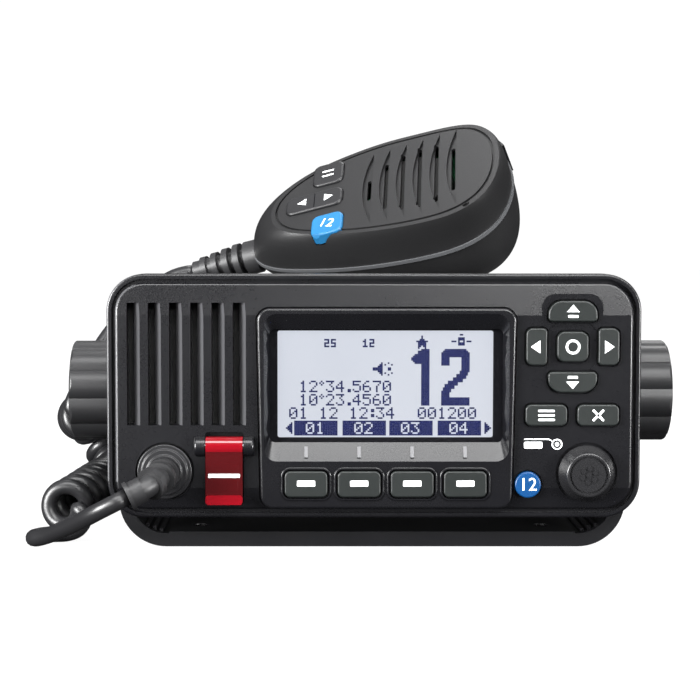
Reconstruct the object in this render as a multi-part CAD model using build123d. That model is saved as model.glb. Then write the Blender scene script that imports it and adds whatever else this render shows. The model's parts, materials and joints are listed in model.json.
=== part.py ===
"""Fixed marine radio with its mounting bracket, hand microphone and curly cord.

Millimetres. +Z is up, the controls face -Y and +X is to the right of someone who looks at them.
The origin is the middle of the bracket's four screw holes, on the surface that it stands on.
"""
import math
import os

from build123d import *

os.makedirs("parts", exist_ok=True)

# ---------------------------------------------------------------- driving dimensions

# running clearances
SLIDE_GAP = 0.20        # key in its window, all round
PIVOT_GAP = 0.06        # bore round a pin or shaft, on the radius
SEAT_GAP = 0.15         # a part that drops into a seat
BODY_GAP = 0.30         # between faces of parts that move past each other
LEAD_GAP = 0.70         # between the cord's end and the microphone's boot

# front panel
FACE_W = 180.0          # width of the face
FACE_H = 82.4           # height of the face
FACE_R = 12.5           # corner radius of the face
FACE_DEPTH = 10.0       # depth of the front panel's side walls
FACE_LIFT = 12.8        # lower edge of the face above the surface
HINGE_SETBACK = 51.0    # tilt axis behind the rim of the face
RIM_W = 1.7             # light outer rim
RIM_EDGE = 0.8          # rounding of the rim's outer edge
GROOVE_W = 1.3          # groove inside the rim
GROOVE_DEPTH = 1.6      # its depth
PANEL_RISE = 2.0        # raised face, in front of the rim
PANEL_EDGE = 1.1        # rounding round the raised face
FRONT_WALL = 5.5        # thickness of the raised face
SIDE_WALL = 3.5         # side walls of the front panel
BROW_H = 10.8           # sloped band along the top
BROW_SET = 1.9          # how far it leans back
CHIN_H = 7.4            # sloped band along the bottom
CHIN_SET = 1.6          # how far it leans back

# speaker louvres
SLOT_COUNT = 6
SLOT_PITCH = 7.12
SLOT_W = 4.4            # louvre across its mouth
SLOT_THROAT = 2.1       # the part that goes right through
SLOT_FIRST_X = -83.0    # left side of the first louvre
SLOT_BOTTOM = -9.6      # lower end, from the middle of the face
SLOT_TOP = 31.6         # upper end
SLOT_RAMP = 4.2         # depth of the sloped side

# display frame
ISLAND_X = 4.15         # middle of the display frame
ISLAND_TOP_W = 87.0
ISLAND_BOTTOM_W = 84.4
ISLAND_TOP = 29.8       # its top, from the middle of the face
ISLAND_BOTTOM = -37.6
ISLAND_R = 4.2
ISLAND_RISE = 2.0       # in front of the raised face
ISLAND_THICK = 5.0
ISLAND_EDGE = 0.9
ISLAND_SEAM = 0.45      # dark line round the frame
ISLAND_LEDGE = 2.2      # shelf that carries the frame
MOUTH_W = 82.2         # opening of the sloped surround, in front
MOUTH_TOP = 28.0
MOUTH_BOTTOM = -21.6
GLASS_W = 78.6          # window at the foot of the surround
GLASS_TOP = 22.7
GLASS_BOTTOM = -15.5
SURROUND_DEPTH = 3.4
LENS_MARGIN = 1.6       # lens behind the window's edge
LENS_THICK = 1.0
LENS_STEP = 0.5         # lens behind the foot of the surround
MOUTH_R = 4.4
GLASS_R = 1.8
LCD_MARGIN = 0.8        # display module behind the window's edge
LCD_GAP = 0.25          # between the lens and the display module, which stands on the front board
TICK_W = 0.7
TICK_L = 3.4
TICK_RISE = 0.35

# keys
KEY_TRAVEL = 0.8
KEY_RISE = 1.5          # keys in front of the raised face
KEY_EDGE = 0.55
KEY_FLANGE = 0.8        # flange behind the window, all round
KEY_FLANGE_T = 0.9
KEY_MOAT = 0.6          # dark moat round a key, and its depth
KEY_MOAT_DEPTH = 0.9
SOFT_PITCH = 17.8
SOFT_X = 3.9            # middle of the row of soft keys
SOFT_W = 15.5
SOFT_H = 9.9
SOFT_R = 2.4
SOFT_Z = -29.2
SOFT_RISE = 1.1         # soft keys in front of the display frame
SOFT_MOAT = 0.55        # dark moat round a soft key
SOFT_LIP = 0.75         # raised lip round the moat
SOFT_LIP_RISE = 0.5
PAD_X = 66.5            # middle of the arrow keys
PAD_Z = 16.9
ARROW_LONG = 16.4
ARROW_SHORT = 7.0
SIDE_LONG = 12.5        # height of the left and right keys
ARROW_REACH_Z = 11.9    # up and down keys from the middle
ARROW_REACH_X = 12.1    # left and right keys from the middle
ARROW_CROWN = 4.6       # corner radius on the outer side
ARROW_R = 1.4
ENTER_W = 10.5
ENTER_H = 10.2
ENTER_R = 2.6
LOWER_W = 14.0
LOWER_H = 7.2
LOWER_R = 2.0
LOWER_SPREAD = 8.7
LOWER_Z = -6.1
PAD_BUMP_W = 20.5       # swelling of the face over the up key
PAD_BUMP_TOP = 34.6
PAD_DISH_R = 9.8        # shallow dish between the arrow keys
PAD_DISH = 0.4
CHANNEL_X = 51.8
CHANNEL_Z = -29.6
CHANNEL_R = 4.4
KNOB_X = 71.6           # volume knob
KNOB_Z = -25.8
KNOB_R = 9.5
KNOB_TOP_R = 7.3
KNOB_H = 5.8
KNOB_FLUTES = 9
KNOB_FLUTE_R = 9.0
KNOB_FLUTE_DEPTH = 0.55
KNOB_FACE_R = 6.0
KNOB_BEAD_R = 0.85
KNOB_BEAD_PITCH = 2.3
KNOB_BEAD_TURN = 22.0
KNOB_PUSH = 0.6
KNOB_RECESS = 0.8       # shallow ring round the knob's foot
KNOB_MOAT = 0.9
KNOB_WALL = 2.8         # end wall over the shaft
SHAFT_R = 3.0
ENCODER_W = 12.0

# distress cover
COVER_X = -50.3
COVER_W = 12.4
COVER_HINGE_Z = -16.7   # hinge axis, from the middle of the face
COVER_BARREL_R = 3.4
COVER_PIN_R = 1.0
COVER_BOTTOM = -36.0
COVER_PLATE_T = 1.4
COVER_FRONT = 2.9       # front of the flap before the raised face
COVER_LIP_H = 3.2
COVER_LIP_T = 1.1
KNUCKLE_W = 3.6
PIN_BLIND = 0.8         # wall of a knuckle outside the pin's end
RECESS_DEPTH = 3.9
RECESS_TOP = -11.9
RECESS_SLACK = 0.9      # room under the flap, for a fingernail
DISTRESS_W = 9.4
DISTRESS_H = 9.4
DISTRESS_Z = -27.6
DISTRESS_DEEP = 0.7     # distress key's face behind the raised face

# cord gland on the face
GLAND_X = -70.4
GLAND_Z = -25.2
GLAND_R = 9.2
GLAND_MOAT = 0.7
GLAND_STEP = 1.5
GLAND_RISE = 2.6
GLAND_TOP = 0.9         # its third step
GLAND_SEAT = 1.5        # seat sunk into the raised face
GLAND_NECK_R = 5.2
GLAND_NUT_R = 9.0
GLAND_NUT_T = 3.0

# inner parts of the front unit
MAT_T = 1.4
MAT_EDGE = 1.8          # mat past the keys, all round
BOARD_T = 1.6
MAT_GAP = 0.1           # from a pressed key to the mat
NET_T = 0.4
SPEAKER_SIDE = 16.2     # middle of the speaker from the chassis's inner side
SPEAKER_Z = 11.0
SPEAKER_R = 20.5
SPEAKER_RIM = 2.0       # thickness of its rim
SPEAKER_EDGE = 1.6      # wall of its basket
SPEAKER_DEPTH = 16.0
SPEAKER_MAGNET_R = 9.0
SPEAKER_MAGNET_T = 6.0
SPEAKER_THROAT = 2.0    # magnet's wall round the foot of the cone
SPEAKER_SHEET = 0.8
CONE_ROOM = 1.0         # between the cone and the basket

# rear chassis
CHASSIS_W = 164.0
CHASSIS_H = 68.0
CHASSIS_R = 12.0
CHASSIS_DEPTH = 98.0
CHASSIS_WALL = 3.0
CHASSIS_LIFT = 0.4      # middle of the chassis over the middle of the face
FLANGE_INSET = 1.6      # chassis flange, in from the front panel's outline
FLANGE_T = 1.6
FIN_COUNT = 19          # heat sink set into the chassis's back
FIN_T = 2.2
FIN_SPAN = 102.0
FIN_DEPTH = 12.0
FIN_BASE = 4.5
FIN_SCREWS = [(-38.0, 24.0), (38.0, 24.0), (-38.0, -24.0), (38.0, -24.0)]
FIN_THREAD = 3.0        # screw's length in the heat sink
GASKET_T = 1.2
GASKET_W = 3.6          # width of the seal's band
BOSS_R = 12.0           # toothed side boss
BOSS_T = 0.9
SCREW_R = 1.6           # clearance hole of a chassis screw
THREAD_R = 1.5          # its thread
THREAD_END = 1.0        # end of the threaded hole, behind the face's wall
SCREW_HEAD_R = 2.4
SCREW_HEAD_T = 2.2
POST_R = 2.5            # screw posts of the front panel
SCREW_SPOTS = [(-60.0, 37.0), (60.0, 37.0), (-60.0, -36.6), (60.0, -36.6)]
BOARD_W = 132.0
BOARD_FRONT = 3.0       # main board behind the chassis's mouth
BOARD_BACK = 5.0        # and before its back wall
POST_SIDE = 6.0         # standoffs, in from the board's sides
POST_FRONT = 10.0
POST_BACK = 12.0
MAIN_BOARD_Z = -20.0    # main board, from the middle of the chassis
STANDOFF_R = 3.0
CAN_W = 62.0
CAN_D = 40.0
CAN_H = 13.0
# sockets: x, height over the middle of the face, radius, length, radius of the bore
REAR_SOCKETS = {
    "antenna_socket": (-66.0, 14.0, 7.8, 16.0, 5.2),
    "power_socket": (66.0, 14.0, 6.5, 9.0, 4.4),
    "data_socket": (66.0, -12.0, 4.5, 7.0, 2.9),
}
SOCKET_WALL = 1.5       # the socket's stem is slimmer by this
SOCKET_FLANGE = 2.2     # and its flange wider by this
SOCKET_FLANGE_T = 2.0
SOCKET_STEM = 8.0       # stem inside the chassis
SOCKET_FLOOR = 3.0      # floor of the bore, behind the chassis

# bracket and clamp knobs
HINGE_Z = 51.8          # tilt axis above the surface
BRACKET_T = 4.3         # thickness of the arms
ARM_GAP = 0.8           # between an arm and the side boss
BRACKET_W = CHASSIS_W + 2 * (BOSS_T + ARM_GAP + BRACKET_T)
FLOOR_T = 4.6
BRACKET_R = 16.4        # outer radius of its lower corners
BRACKET_D = 68.0        # depth of its base
ARM_R = 16.5            # round end of an arm
PLATEAU_SIDE = 17.4     # raised floor, in from the arms
PLATEAU_W = BRACKET_W - 2 * PLATEAU_SIDE
PLATEAU_RISE = 0.6
RIB_COUNT = 3
RIB_T = 1.2
HOLE_SPACING_X = 121.0
HOLE_SPACING_Y = 38.0
HOLE_R = 2.6
STUD_R = 3.0
STUD_L = 30.0
STUD_SINK = 9.0         # stud's length in the knob
CLAMP_R = 18.2
CLAMP_T = 18.4
CLAMP_LOBES = 10
CLAMP_LOBE_R = 7.0
CLAMP_LOBE_TURN = 0.34  # first lobe, in parts of the lobes' pitch
CLAMP_EDGE = 1.4
CLAMP_HOLLOW_R = 11.0
CLAMP_HOLLOW = 3.0
WASHER_R = 10.0
WASHER_T = 1.0
LUG_WALL = 4.0          # round the stud, inside the chassis
LUG_L = 14.0

# hand microphone, in its own axes: x from the cord to the head, z out of its face
MIC_UPPER = [(-51.0, 0.0), (-48.8, 8.2), (-41.5, 16.0), (-30.0, 22.0), (-15.0, 25.4), (3.0, 26.8),
             (18.0, 25.9), (32.0, 24.4), (42.0, 20.9), (48.6, 13.4), (51.6, 0.0)]
MIC_LOWER = [(-48.8, -8.2), (-41.5, -15.2), (-30.0, -20.8), (-15.0, -26.2), (3.0, -30.6), (18.0, -32.6),
             (32.0, -31.8), (42.0, -26.6), (48.8, -16.6)]
MIC_SKEW = 3.0          # outline turned against the louvres
MIC_FACE = 16.0         # face above the seam
MIC_HEAD_DEEP = 23.0    # back under the seam, at the head
MIC_HEAD_AT = 30.0      # where that depth is measured
# front shell: share of its height, how much shorter, how much slimmer, shift along and across
MIC_STATIONS = [(0.0, 0.0, 0.0, 0.0, 0.0), (0.45, 1.4, 0.5, 1.8, -0.7), (0.8, 3.8, 1.4, 4.2, -1.9),
                (1.0, 6.9, 2.6, 6.6, -3.0)]
MIC_RING = 1.7          # groove round the face, in from its edge
MIC_RING_W = 1.0
MIC_RING_DEPTH = 0.8
MIC_TAIL_DEEP = 8.0     # back under the seam, at the cord
MIC_WALL = 2.2
MIC_SEAM_T = 1.4
MIC_SEAM_PROUD = 0.5
MIC_SEAM_IN = 1.4       # reaches past the wall, so that the lever does not part it
MIC_TILT = 40.0         # leans back on the edge of its back and its hanger button
MIC_RISE = 17.8         # head end up, because the back tapers
MIC_TURN = -4.5         # head end towards the front
MIC_X = 4.6             # middle of the seam
MIC_Y = 23.2
MIC_REST = 27.9         # over the top of the chassis
MIC_LIFT = 60.0
MIC_SLOTS = 6
MIC_SLOT_PITCH = 6.5
MIC_SLOT_L = 44.5
MIC_SLOT_STEP = 0.8     # each louvre longer than the one before it
MIC_SLOT_W = 3.8
MIC_SLOT_X = 17.0       # middle of the louvres
MIC_SLOT_Y = -4.4
MIC_SLOT_DEPTH = 1.0
MIC_SLIT_W = 1.5
MIC_SLIT_SIDE = 0.45    # slit from the louvre's middle, towards its straight side
MIC_SLIT_SHARES = [0.28, 0.63, 0.75, 0.79, 0.75, 0.55]     # slit's length in its louvre's
MIC_PIT_X = 38.6        # small pit at the end of the face
MIC_PIT_Y = -27.6
MIC_PIT_R = 1.4
MIC_PIT_DEPTH = 1.6
MIC_KEY_RISE = 1.0
MIC_KEY_TRAVEL = 0.6
MIC_KEY_ROOT = 3.4
MIC_KEY_EDGE = 0.8
# keys: middle, width, height, corner radius
MIC_KEYS = {
    "mic_key_upper": (-15.2, 10.3, 12.2, 12.4, 3.0),
    "mic_rocker": (-20.0, -4.2, 22.4, 9.8, 3.2),
    "mic_key_channel": (-14.1, -19.6, 12.2, 11.4, 3.0),
}
BOOT_CORE_R = 3.7       # bent boot at the radio
BOOT_RIB_R = 5.4
BOOT_RIB_T = 2.0
BOOT_RIB_SPOTS = (0.12, 0.33, 0.54)
BOOT_SLEEVE_R = 4.3
BOOT_SLEEVE_L = 5.6
BOOT_LIP_R = 4.8        # ring at the sleeve's end
BOOT_LIP_T = 1.3
BOOT_R = 6.5            # boot at the microphone
BOOT_END_R = 3.9
BOOT_L = 28.0
BOOT_START = 2.0        # its shoulder inside the tail
BOOT_DROP = -3.1
BOOT_TURN = -90.0       # points away from the tail, a little down
BOOT_STEM = 4.0         # stem inside the shells
BOOT_STEM_R = 3.8
BOOT_SHOULDER = 0.9     # where the shoulder starts
BOOT_SHOULDER_T = 5.1
BOOT_RIBS = 4
HANGER_R = 9.0
HANGER_NECK_R = 4.0
HANGER_NECK = 10.4
HANGER_T = 2.8
HANGER_X = 6.0
PTT_START = 2.0         # lever, from its pivot end
PTT_END = 14.5          # its free end, at the head corner
PTT_ROOM = 1.0          # room there for its swing
PTT_H = 12.4
PTT_TOP = 6.0           # over the middle of the seam strip
PTT_PROUD = 1.7
PTT_THICK = 2.6
PTT_POCKET = 3.4
PTT_SEAM_POCKET = 2.1   # its depth in the seam strip
MIC_BOARD_T = 1.6
MIC_BOARD_MARGIN = 1.3  # between the board and the front shell
MIC_SPEAKER_R = 15.0
MIC_SPEAKER_T = 6.0
MIC_SCREW_R = 2.1
MIC_THREAD_R = 1.1
MIC_THREAD_L = 6.0
MIC_SCREWS = [(-30.0, -9.0), (-30.0, 5.0), (33.0, -14.0), (33.0, 17.0)]

# cord
CORD_D = 5.7
COIL_D = 19.0
BEND_SHARE = 0.45
BOOT_ROUTE = [(-70.4, -56.5, 28.8), (-70.6, -65.5, 28.4), (-74.8, -71.6, 26.0), (-80.9, -72.8, 23.1)]
LEAD_ROUTE = [(-80.9, -72.8, 23.1), (-89.8, -74.6, 18.8), (-99.7, -61.0, 12.2), (-107.0, -50.0, 8.0),
              (-112.2, -42.6, 4.9), (-117.6, -37.6, 3.2), (-118.2, -30.4, 2.95), (-112.9, -25.6, 2.95),
              (-107.5, -26.0, 3.0), (-103.0, -26.3, 4.6), (-100.6, -26.3, 8.8), (-101.2, -25.2, 13.4)]
COIL_ROUTE = [(-109.9, -23.0, 11.6), (-105.7, -8.0, 13.0), (-101.8, 7.0, 15.0), (-100.0, 23.0, 15.0),
              (-99.4, 42.0, 13.8), (-99.4, 61.0, 14.2), (-103.4, 68.8, 20.8), (-109.1, 68.8, 30.2),
              (-113.2, 61.0, 36.9), (-112.3, 46.0, 36.6), (-107.8, 31.5, 39.2)]
MIC_ROUTE = [(-114.0, 28.5, 41.5), (-112.4, 30.4, 46.6), (-108.6, 32.0, 54.0), (-102.9, 34.5, 65.5),
             (-96.9, 37.5, 73.9), (-89.3, 41.0, 81.8), (-80.8, 44.6, 88.9), (-73.2, 45.2, 93.6)]

# ---------------------------------------------------------------- places worked out from them

FACE_Y = -HINGE_SETBACK
FACE_Z = FACE_LIFT + FACE_H / 2
PANEL_Y = FACE_Y - PANEL_RISE
WALL_Y = PANEL_Y + FRONT_WALL
FACE_BACK_Y = FACE_Y + FACE_DEPTH
PANEL_W = FACE_W - 2 * (RIM_W + GROOVE_W)
PANEL_H = FACE_H - 2 * (RIM_W + GROOVE_W)
PANEL_R = FACE_R - RIM_W - GROOVE_W
ISLAND_Y = PANEL_Y - ISLAND_RISE
ISLAND_BACK_Y = ISLAND_Y + ISLAND_THICK
SURROUND_Y = ISLAND_Y + SURROUND_DEPTH
LENS_Y = SURROUND_Y + LENS_STEP
KEY_Y = PANEL_Y - KEY_RISE
FLANGE_BACK_Y = WALL_Y + SEAT_GAP + KEY_FLANGE_T
MAT_Y = FLANGE_BACK_Y + KEY_TRAVEL + MAT_GAP
BOARD_Y = MAT_Y + MAT_T
BOARD_BACK_Y = BOARD_Y + BOARD_T
CHASSIS_Z = FACE_Z + CHASSIS_LIFT
CHASSIS_Y = FACE_BACK_Y + GASKET_T
CHASSIS_TOP_Z = CHASSIS_Z + CHASSIS_H / 2
CHASSIS_BACK_Y = CHASSIS_Y + CHASSIS_DEPTH
CLAMP_INNER_X = BRACKET_W / 2 + WASHER_T + BODY_GAP
CHASSIS_FLOOR_Y = CHASSIS_BACK_Y - FIN_DEPTH - CHASSIS_WALL
SPEAKER_X = SPEAKER_SIDE - CHASSIS_W / 2 + CHASSIS_WALL
MIC_Z = CHASSIS_TOP_Z + MIC_REST


def face_plane(y):
    """Plane across the face: its x is X, its y is height from the middle of the face."""
    return Plane(origin=(0, y, FACE_Z), x_dir=(1, 0, 0), z_dir=(0, -1, 0))


def plate(sketch, front_y, back_y):
    """A sketch on the face, made solid from front_y back to back_y."""
    return extrude(face_plane(back_y) * sketch, back_y - front_y)


def rounded(x, z, width, height, radius):
    return Pos(x, z) * RectangleRounded(width, height, radius)


def rod(radius, x0, x1, y, z):
    """A round rod along X."""
    return extrude(Plane(origin=(x0, y, z), z_dir=(1, 0, 0)) * Circle(radius), x1 - x0)


def save(shape, name):
    shape.label = name
    export_step(shape, f"parts/{name}.step")


# ---------------------------------------------------------------- front panel

def island_outline(grow=0.0):
    top = ISLAND_TOP_W / 2 + grow
    bottom = ISLAND_BOTTOM_W / 2 + grow
    corners = [(-bottom, ISLAND_BOTTOM - grow), (bottom, ISLAND_BOTTOM - grow),
               (top, ISLAND_TOP + grow), (-top, ISLAND_TOP + grow)]
    sketch = make_face(Polyline(*corners, close=True))
    return Pos(ISLAND_X, 0) * fillet(sketch.vertices(), ISLAND_R + grow)


def raised_face():
    """The raised face: its side view has a sloped band at the top and another at the bottom."""
    half = PANEL_H / 2
    side = make_face(Polyline(
        (FACE_Y + GROOVE_DEPTH, FACE_Z - half), (PANEL_Y + CHIN_SET, FACE_Z - half),
        (PANEL_Y, FACE_Z - half + CHIN_H), (PANEL_Y, FACE_Z + half - BROW_H),
        (PANEL_Y + BROW_SET, FACE_Z + half), (FACE_Y + GROOVE_DEPTH, FACE_Z + half), close=True))
    profile = extrude(Plane.YZ.offset(-PANEL_W) * side, 2 * PANEL_W)
    block = plate(RectangleRounded(PANEL_W, PANEL_H, PANEL_R), PANEL_Y, FACE_Y + GROOVE_DEPTH)
    block = block & profile
    rim_edges = [e for e in block.edges()
                 if e.center().Y < FACE_Y + GROOVE_DEPTH - 0.5
                 and not (abs(e.tangent_at(0.5).X) > 0.99 and abs(e.center().Z - FACE_Z) < half - 0.5)
                 and abs(e.tangent_at(0.5).Y) < 0.9]
    block = fillet(rim_edges, PANEL_EDGE)
    bump_h = PAD_BUMP_TOP - PAD_Z
    bump = plate(rounded(PAD_X, PAD_Z + bump_h / 2, PAD_BUMP_W, bump_h, ARROW_CROWN),
                 PANEL_Y, FACE_Y + GROOVE_DEPTH)
    return block + bump


def louvre(index):
    """One louvre: a throat that goes through and one sloped side."""
    x0 = SLOT_FIRST_X + index * SLOT_PITCH
    section = make_face(Polyline(
        (x0, PANEL_Y - 1), (x0 + SLOT_W + 0.4, PANEL_Y - 1), (x0 + SLOT_W, PANEL_Y),
        (x0 + SLOT_THROAT, PANEL_Y + SLOT_RAMP), (x0 + SLOT_THROAT, WALL_Y + 1), (x0, WALL_Y + 1),
        close=True))
    cut = extrude(Plane.XY.offset(FACE_Z + SLOT_BOTTOM) * section, SLOT_TOP - SLOT_BOTTOM)
    return cut


def arrow_outline(kind):
    if kind in ("up", "down"):
        sketch = Rectangle(ARROW_LONG, ARROW_SHORT)
        order = sketch.vertices().sort_by(Axis.Y)
    else:
        sketch = Rectangle(ARROW_SHORT, SIDE_LONG)
        order = sketch.vertices().sort_by(Axis.X)
    if kind in ("up", "right"):
        outer, inner = order[-2:], order[:2]
    else:
        outer, inner = order[:2], order[-2:]
    crown = ARROW_CROWN if kind in ("up", "down") else ARROW_R * 1.6
    sketch = fillet(outer, crown)
    corners = [v for v in sketch.vertices() if any((v.center() - w.center()).length < 0.01 for w in inner)]
    return fillet(corners, ARROW_R)


PANEL_KEYS = {
    "key_up": (PAD_X, PAD_Z + ARROW_REACH_Z, "up"),
    "key_down": (PAD_X, PAD_Z - ARROW_REACH_Z, "down"),
    "key_left": (PAD_X - ARROW_REACH_X, PAD_Z, "left"),
    "key_right": (PAD_X + ARROW_REACH_X, PAD_Z, "right"),
    "key_enter": (PAD_X, PAD_Z, "enter"),
    "key_menu": (PAD_X - LOWER_SPREAD, LOWER_Z, "lower"),
    "key_clear": (PAD_X + LOWER_SPREAD, LOWER_Z, "lower"),
    "key_channel": (CHANNEL_X, CHANNEL_Z, "round"),
}


def key_outline(kind, grow=0.0):
    if kind == "enter":
        return RectangleRounded(ENTER_W + 2 * grow, ENTER_H + 2 * grow, ENTER_R + grow)
    if kind == "lower":
        return RectangleRounded(LOWER_W + 2 * grow, LOWER_H + 2 * grow, LOWER_R + grow)
    if kind == "round":
        return Circle(CHANNEL_R + grow)
    sketch = arrow_outline(kind)
    return offset(sketch, amount=grow) if grow else sketch


def soft_key_places():
    return [SOFT_X + (index - 1.5) * SOFT_PITCH for index in range(4)]


def front_panel():
    body = plate(RectangleRounded(FACE_W, FACE_H, FACE_R), FACE_Y, FACE_BACK_Y)
    body = fillet(body.faces().sort_by(Axis.Y)[0].edges(), RIM_EDGE)
    inner = FACE_W - 2 * RIM_W
    body -= plate(RectangleRounded(inner, FACE_H - 2 * RIM_W, FACE_R - RIM_W),
                  FACE_Y - 1, FACE_Y + GROOVE_DEPTH)
    body += raised_face()
    hollow = RectangleRounded(FACE_W - 2 * SIDE_WALL, FACE_H - 2 * SIDE_WALL, FACE_R - SIDE_WALL)
    body -= plate(hollow, WALL_Y, FACE_BACK_Y + 1)
    for index in range(SLOT_COUNT):
        body -= louvre(index)
    body -= plate(Pos(PAD_X, PAD_Z) * Circle(PAD_DISH_R), PANEL_Y - 1, PANEL_Y + PAD_DISH)
    body -= plate(island_outline(ISLAND_SEAM), ISLAND_Y, ISLAND_BACK_Y)
    body -= plate(island_outline(-ISLAND_LEDGE), ISLAND_Y, WALL_Y + 1)
    for x, z, kind in PANEL_KEYS.values():
        body -= plate(Pos(x, z) * key_outline(kind, SLIDE_GAP), PANEL_Y - 1, WALL_Y + 1)
        body -= plate(Pos(x, z) * key_outline(kind, KEY_MOAT), PANEL_Y - 1, PANEL_Y + KEY_MOAT_DEPTH)
    body = body - distress_recess() + distress_knuckles()
    body -= distress_hinge_pin()
    for x, z in SCREW_SPOTS:
        body += plate(Pos(x, z) * Circle(POST_R), WALL_Y - 0.5, CHASSIS_Y)
        body -= plate(Pos(x, z) * Circle(THREAD_R), WALL_Y + THREAD_END, CHASSIS_Y + 1)
    body -= plate(Pos(GLAND_X, GLAND_Z) * Circle(GLAND_R + GLAND_MOAT), PANEL_Y - 1, PANEL_Y + GLAND_SEAT)
    body -= plate(Pos(GLAND_X, GLAND_Z) * Circle(GLAND_NECK_R + SEAT_GAP), PANEL_Y, WALL_Y + 1)
    body -= plate(Pos(KNOB_X, KNOB_Z) * Circle(KNOB_R + KNOB_MOAT), PANEL_Y - 1, PANEL_Y + KNOB_RECESS)
    body -= plate(Pos(KNOB_X, KNOB_Z) * Circle(SHAFT_R + BODY_GAP), PANEL_Y, WALL_Y + 1)
    return body


def distress_recess():
    width = COVER_W + 2 * BODY_GAP
    height = RECESS_TOP - COVER_BOTTOM + RECESS_SLACK
    middle = (RECESS_TOP + COVER_BOTTOM - RECESS_SLACK) / 2
    pocket = plate(rounded(COVER_X, middle, width, height, 1.0), PANEL_Y - 4, PANEL_Y + RECESS_DEPTH)
    window = plate(rounded(COVER_X, DISTRESS_Z, DISTRESS_W + 2 * SLIDE_GAP,
                           DISTRESS_H + 2 * SLIDE_GAP, 1.2 + SLIDE_GAP), PANEL_Y, WALL_Y + 1)
    return pocket + window


def distress_knuckles():
    z = FACE_Z + COVER_HINGE_Z
    left = COVER_X - COVER_W / 2 - BODY_GAP
    right = COVER_X + COVER_W / 2 + BODY_GAP
    pieces = rod(COVER_BARREL_R, left - KNUCKLE_W, left, PANEL_Y, z)
    pieces += rod(COVER_BARREL_R, right, right + KNUCKLE_W, PANEL_Y, z)
    outer = [e for e in pieces.edges()
             if min(abs(e.center().X - left + KNUCKLE_W), abs(e.center().X - right - KNUCKLE_W)) < 0.01]
    return fillet(outer, 0.9)


# ---------------------------------------------------------------- distress cover and key

def distress_cover():
    z = FACE_Z + COVER_HINGE_Z
    left = COVER_X - COVER_W / 2
    right = COVER_X + COVER_W / 2
    body = rod(COVER_BARREL_R - 0.1, left, right, PANEL_Y, z)
    height = COVER_HINGE_Z - COVER_BOTTOM
    front = PANEL_Y - COVER_FRONT
    flap = plate(Pos(COVER_X, COVER_HINGE_Z - height / 2) * Rectangle(COVER_W, height),
                 front, front + COVER_PLATE_T)
    lip = plate(rounded(COVER_X, COVER_BOTTOM + COVER_LIP_H / 2, COVER_W, COVER_LIP_H, 1.0),
                front - COVER_LIP_T, front + COVER_PLATE_T)
    body = body + flap + lip
    return body - rod(COVER_PIN_R + PIVOT_GAP, left - 1, right + 1, PANEL_Y, z)


def distress_hinge_pin():
    reach = COVER_W / 2 + KNUCKLE_W - PIN_BLIND
    return rod(COVER_PIN_R, COVER_X - reach, COVER_X + reach, PANEL_Y, FACE_Z + COVER_HINGE_Z)


def sprung_key(outline, flange, front_y, edge):
    """A key cap that runs back through its window to a flange behind the wall."""
    cap = plate(outline, front_y, FLANGE_BACK_Y)
    cap = fillet(cap.faces().sort_by(Axis.Y)[0].edges(), edge)
    return cap + plate(flange, WALL_Y + SEAT_GAP, FLANGE_BACK_Y)


def panel_key(name):
    x, z, kind = PANEL_KEYS[name]
    outline = Pos(x, z) * key_outline(kind)
    flange = Pos(x, z) * key_outline(kind, KEY_FLANGE)
    return sprung_key(outline, flange, KEY_Y, KEY_EDGE)


def soft_key(x):
    outline = rounded(x, SOFT_Z, SOFT_W - 2 * SOFT_MOAT, SOFT_H - 2 * SOFT_MOAT, SOFT_R - SOFT_MOAT)
    flange = rounded(x, SOFT_Z, SOFT_W - 2 * SOFT_MOAT + 2 * KEY_FLANGE,
                     SOFT_H - 2 * SOFT_MOAT + 2 * KEY_FLANGE, SOFT_R)
    cap = plate(outline, ISLAND_Y - SOFT_RISE, FLANGE_BACK_Y)
    cap = fillet(cap.faces().sort_by(Axis.Y)[0].edges(), KEY_EDGE)
    back = ISLAND_BACK_Y + SEAT_GAP
    return cap + plate(flange, back, back + KEY_FLANGE_T)


def distress_key():
    outline = rounded(COVER_X, DISTRESS_Z, DISTRESS_W, DISTRESS_H, 1.2)
    flange = rounded(COVER_X, DISTRESS_Z, DISTRESS_W + 2 * KEY_FLANGE, DISTRESS_H + 2 * KEY_FLANGE, 1.6)
    return sprung_key(outline, flange, PANEL_Y + DISTRESS_DEEP, KEY_EDGE)


# ---------------------------------------------------------------- display

def surround_cut():
    """The sloped surround: from its wide mouth down to the window."""
    mouth = rounded(ISLAND_X, (MOUTH_TOP + MOUTH_BOTTOM) / 2, MOUTH_W, MOUTH_TOP - MOUTH_BOTTOM, MOUTH_R)
    foot = rounded(ISLAND_X, (GLASS_TOP + GLASS_BOTTOM) / 2, GLASS_W, GLASS_TOP - GLASS_BOTTOM, GLASS_R)
    return loft([face_plane(ISLAND_Y - 0.01) * mouth, face_plane(SURROUND_Y) * foot])


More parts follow.
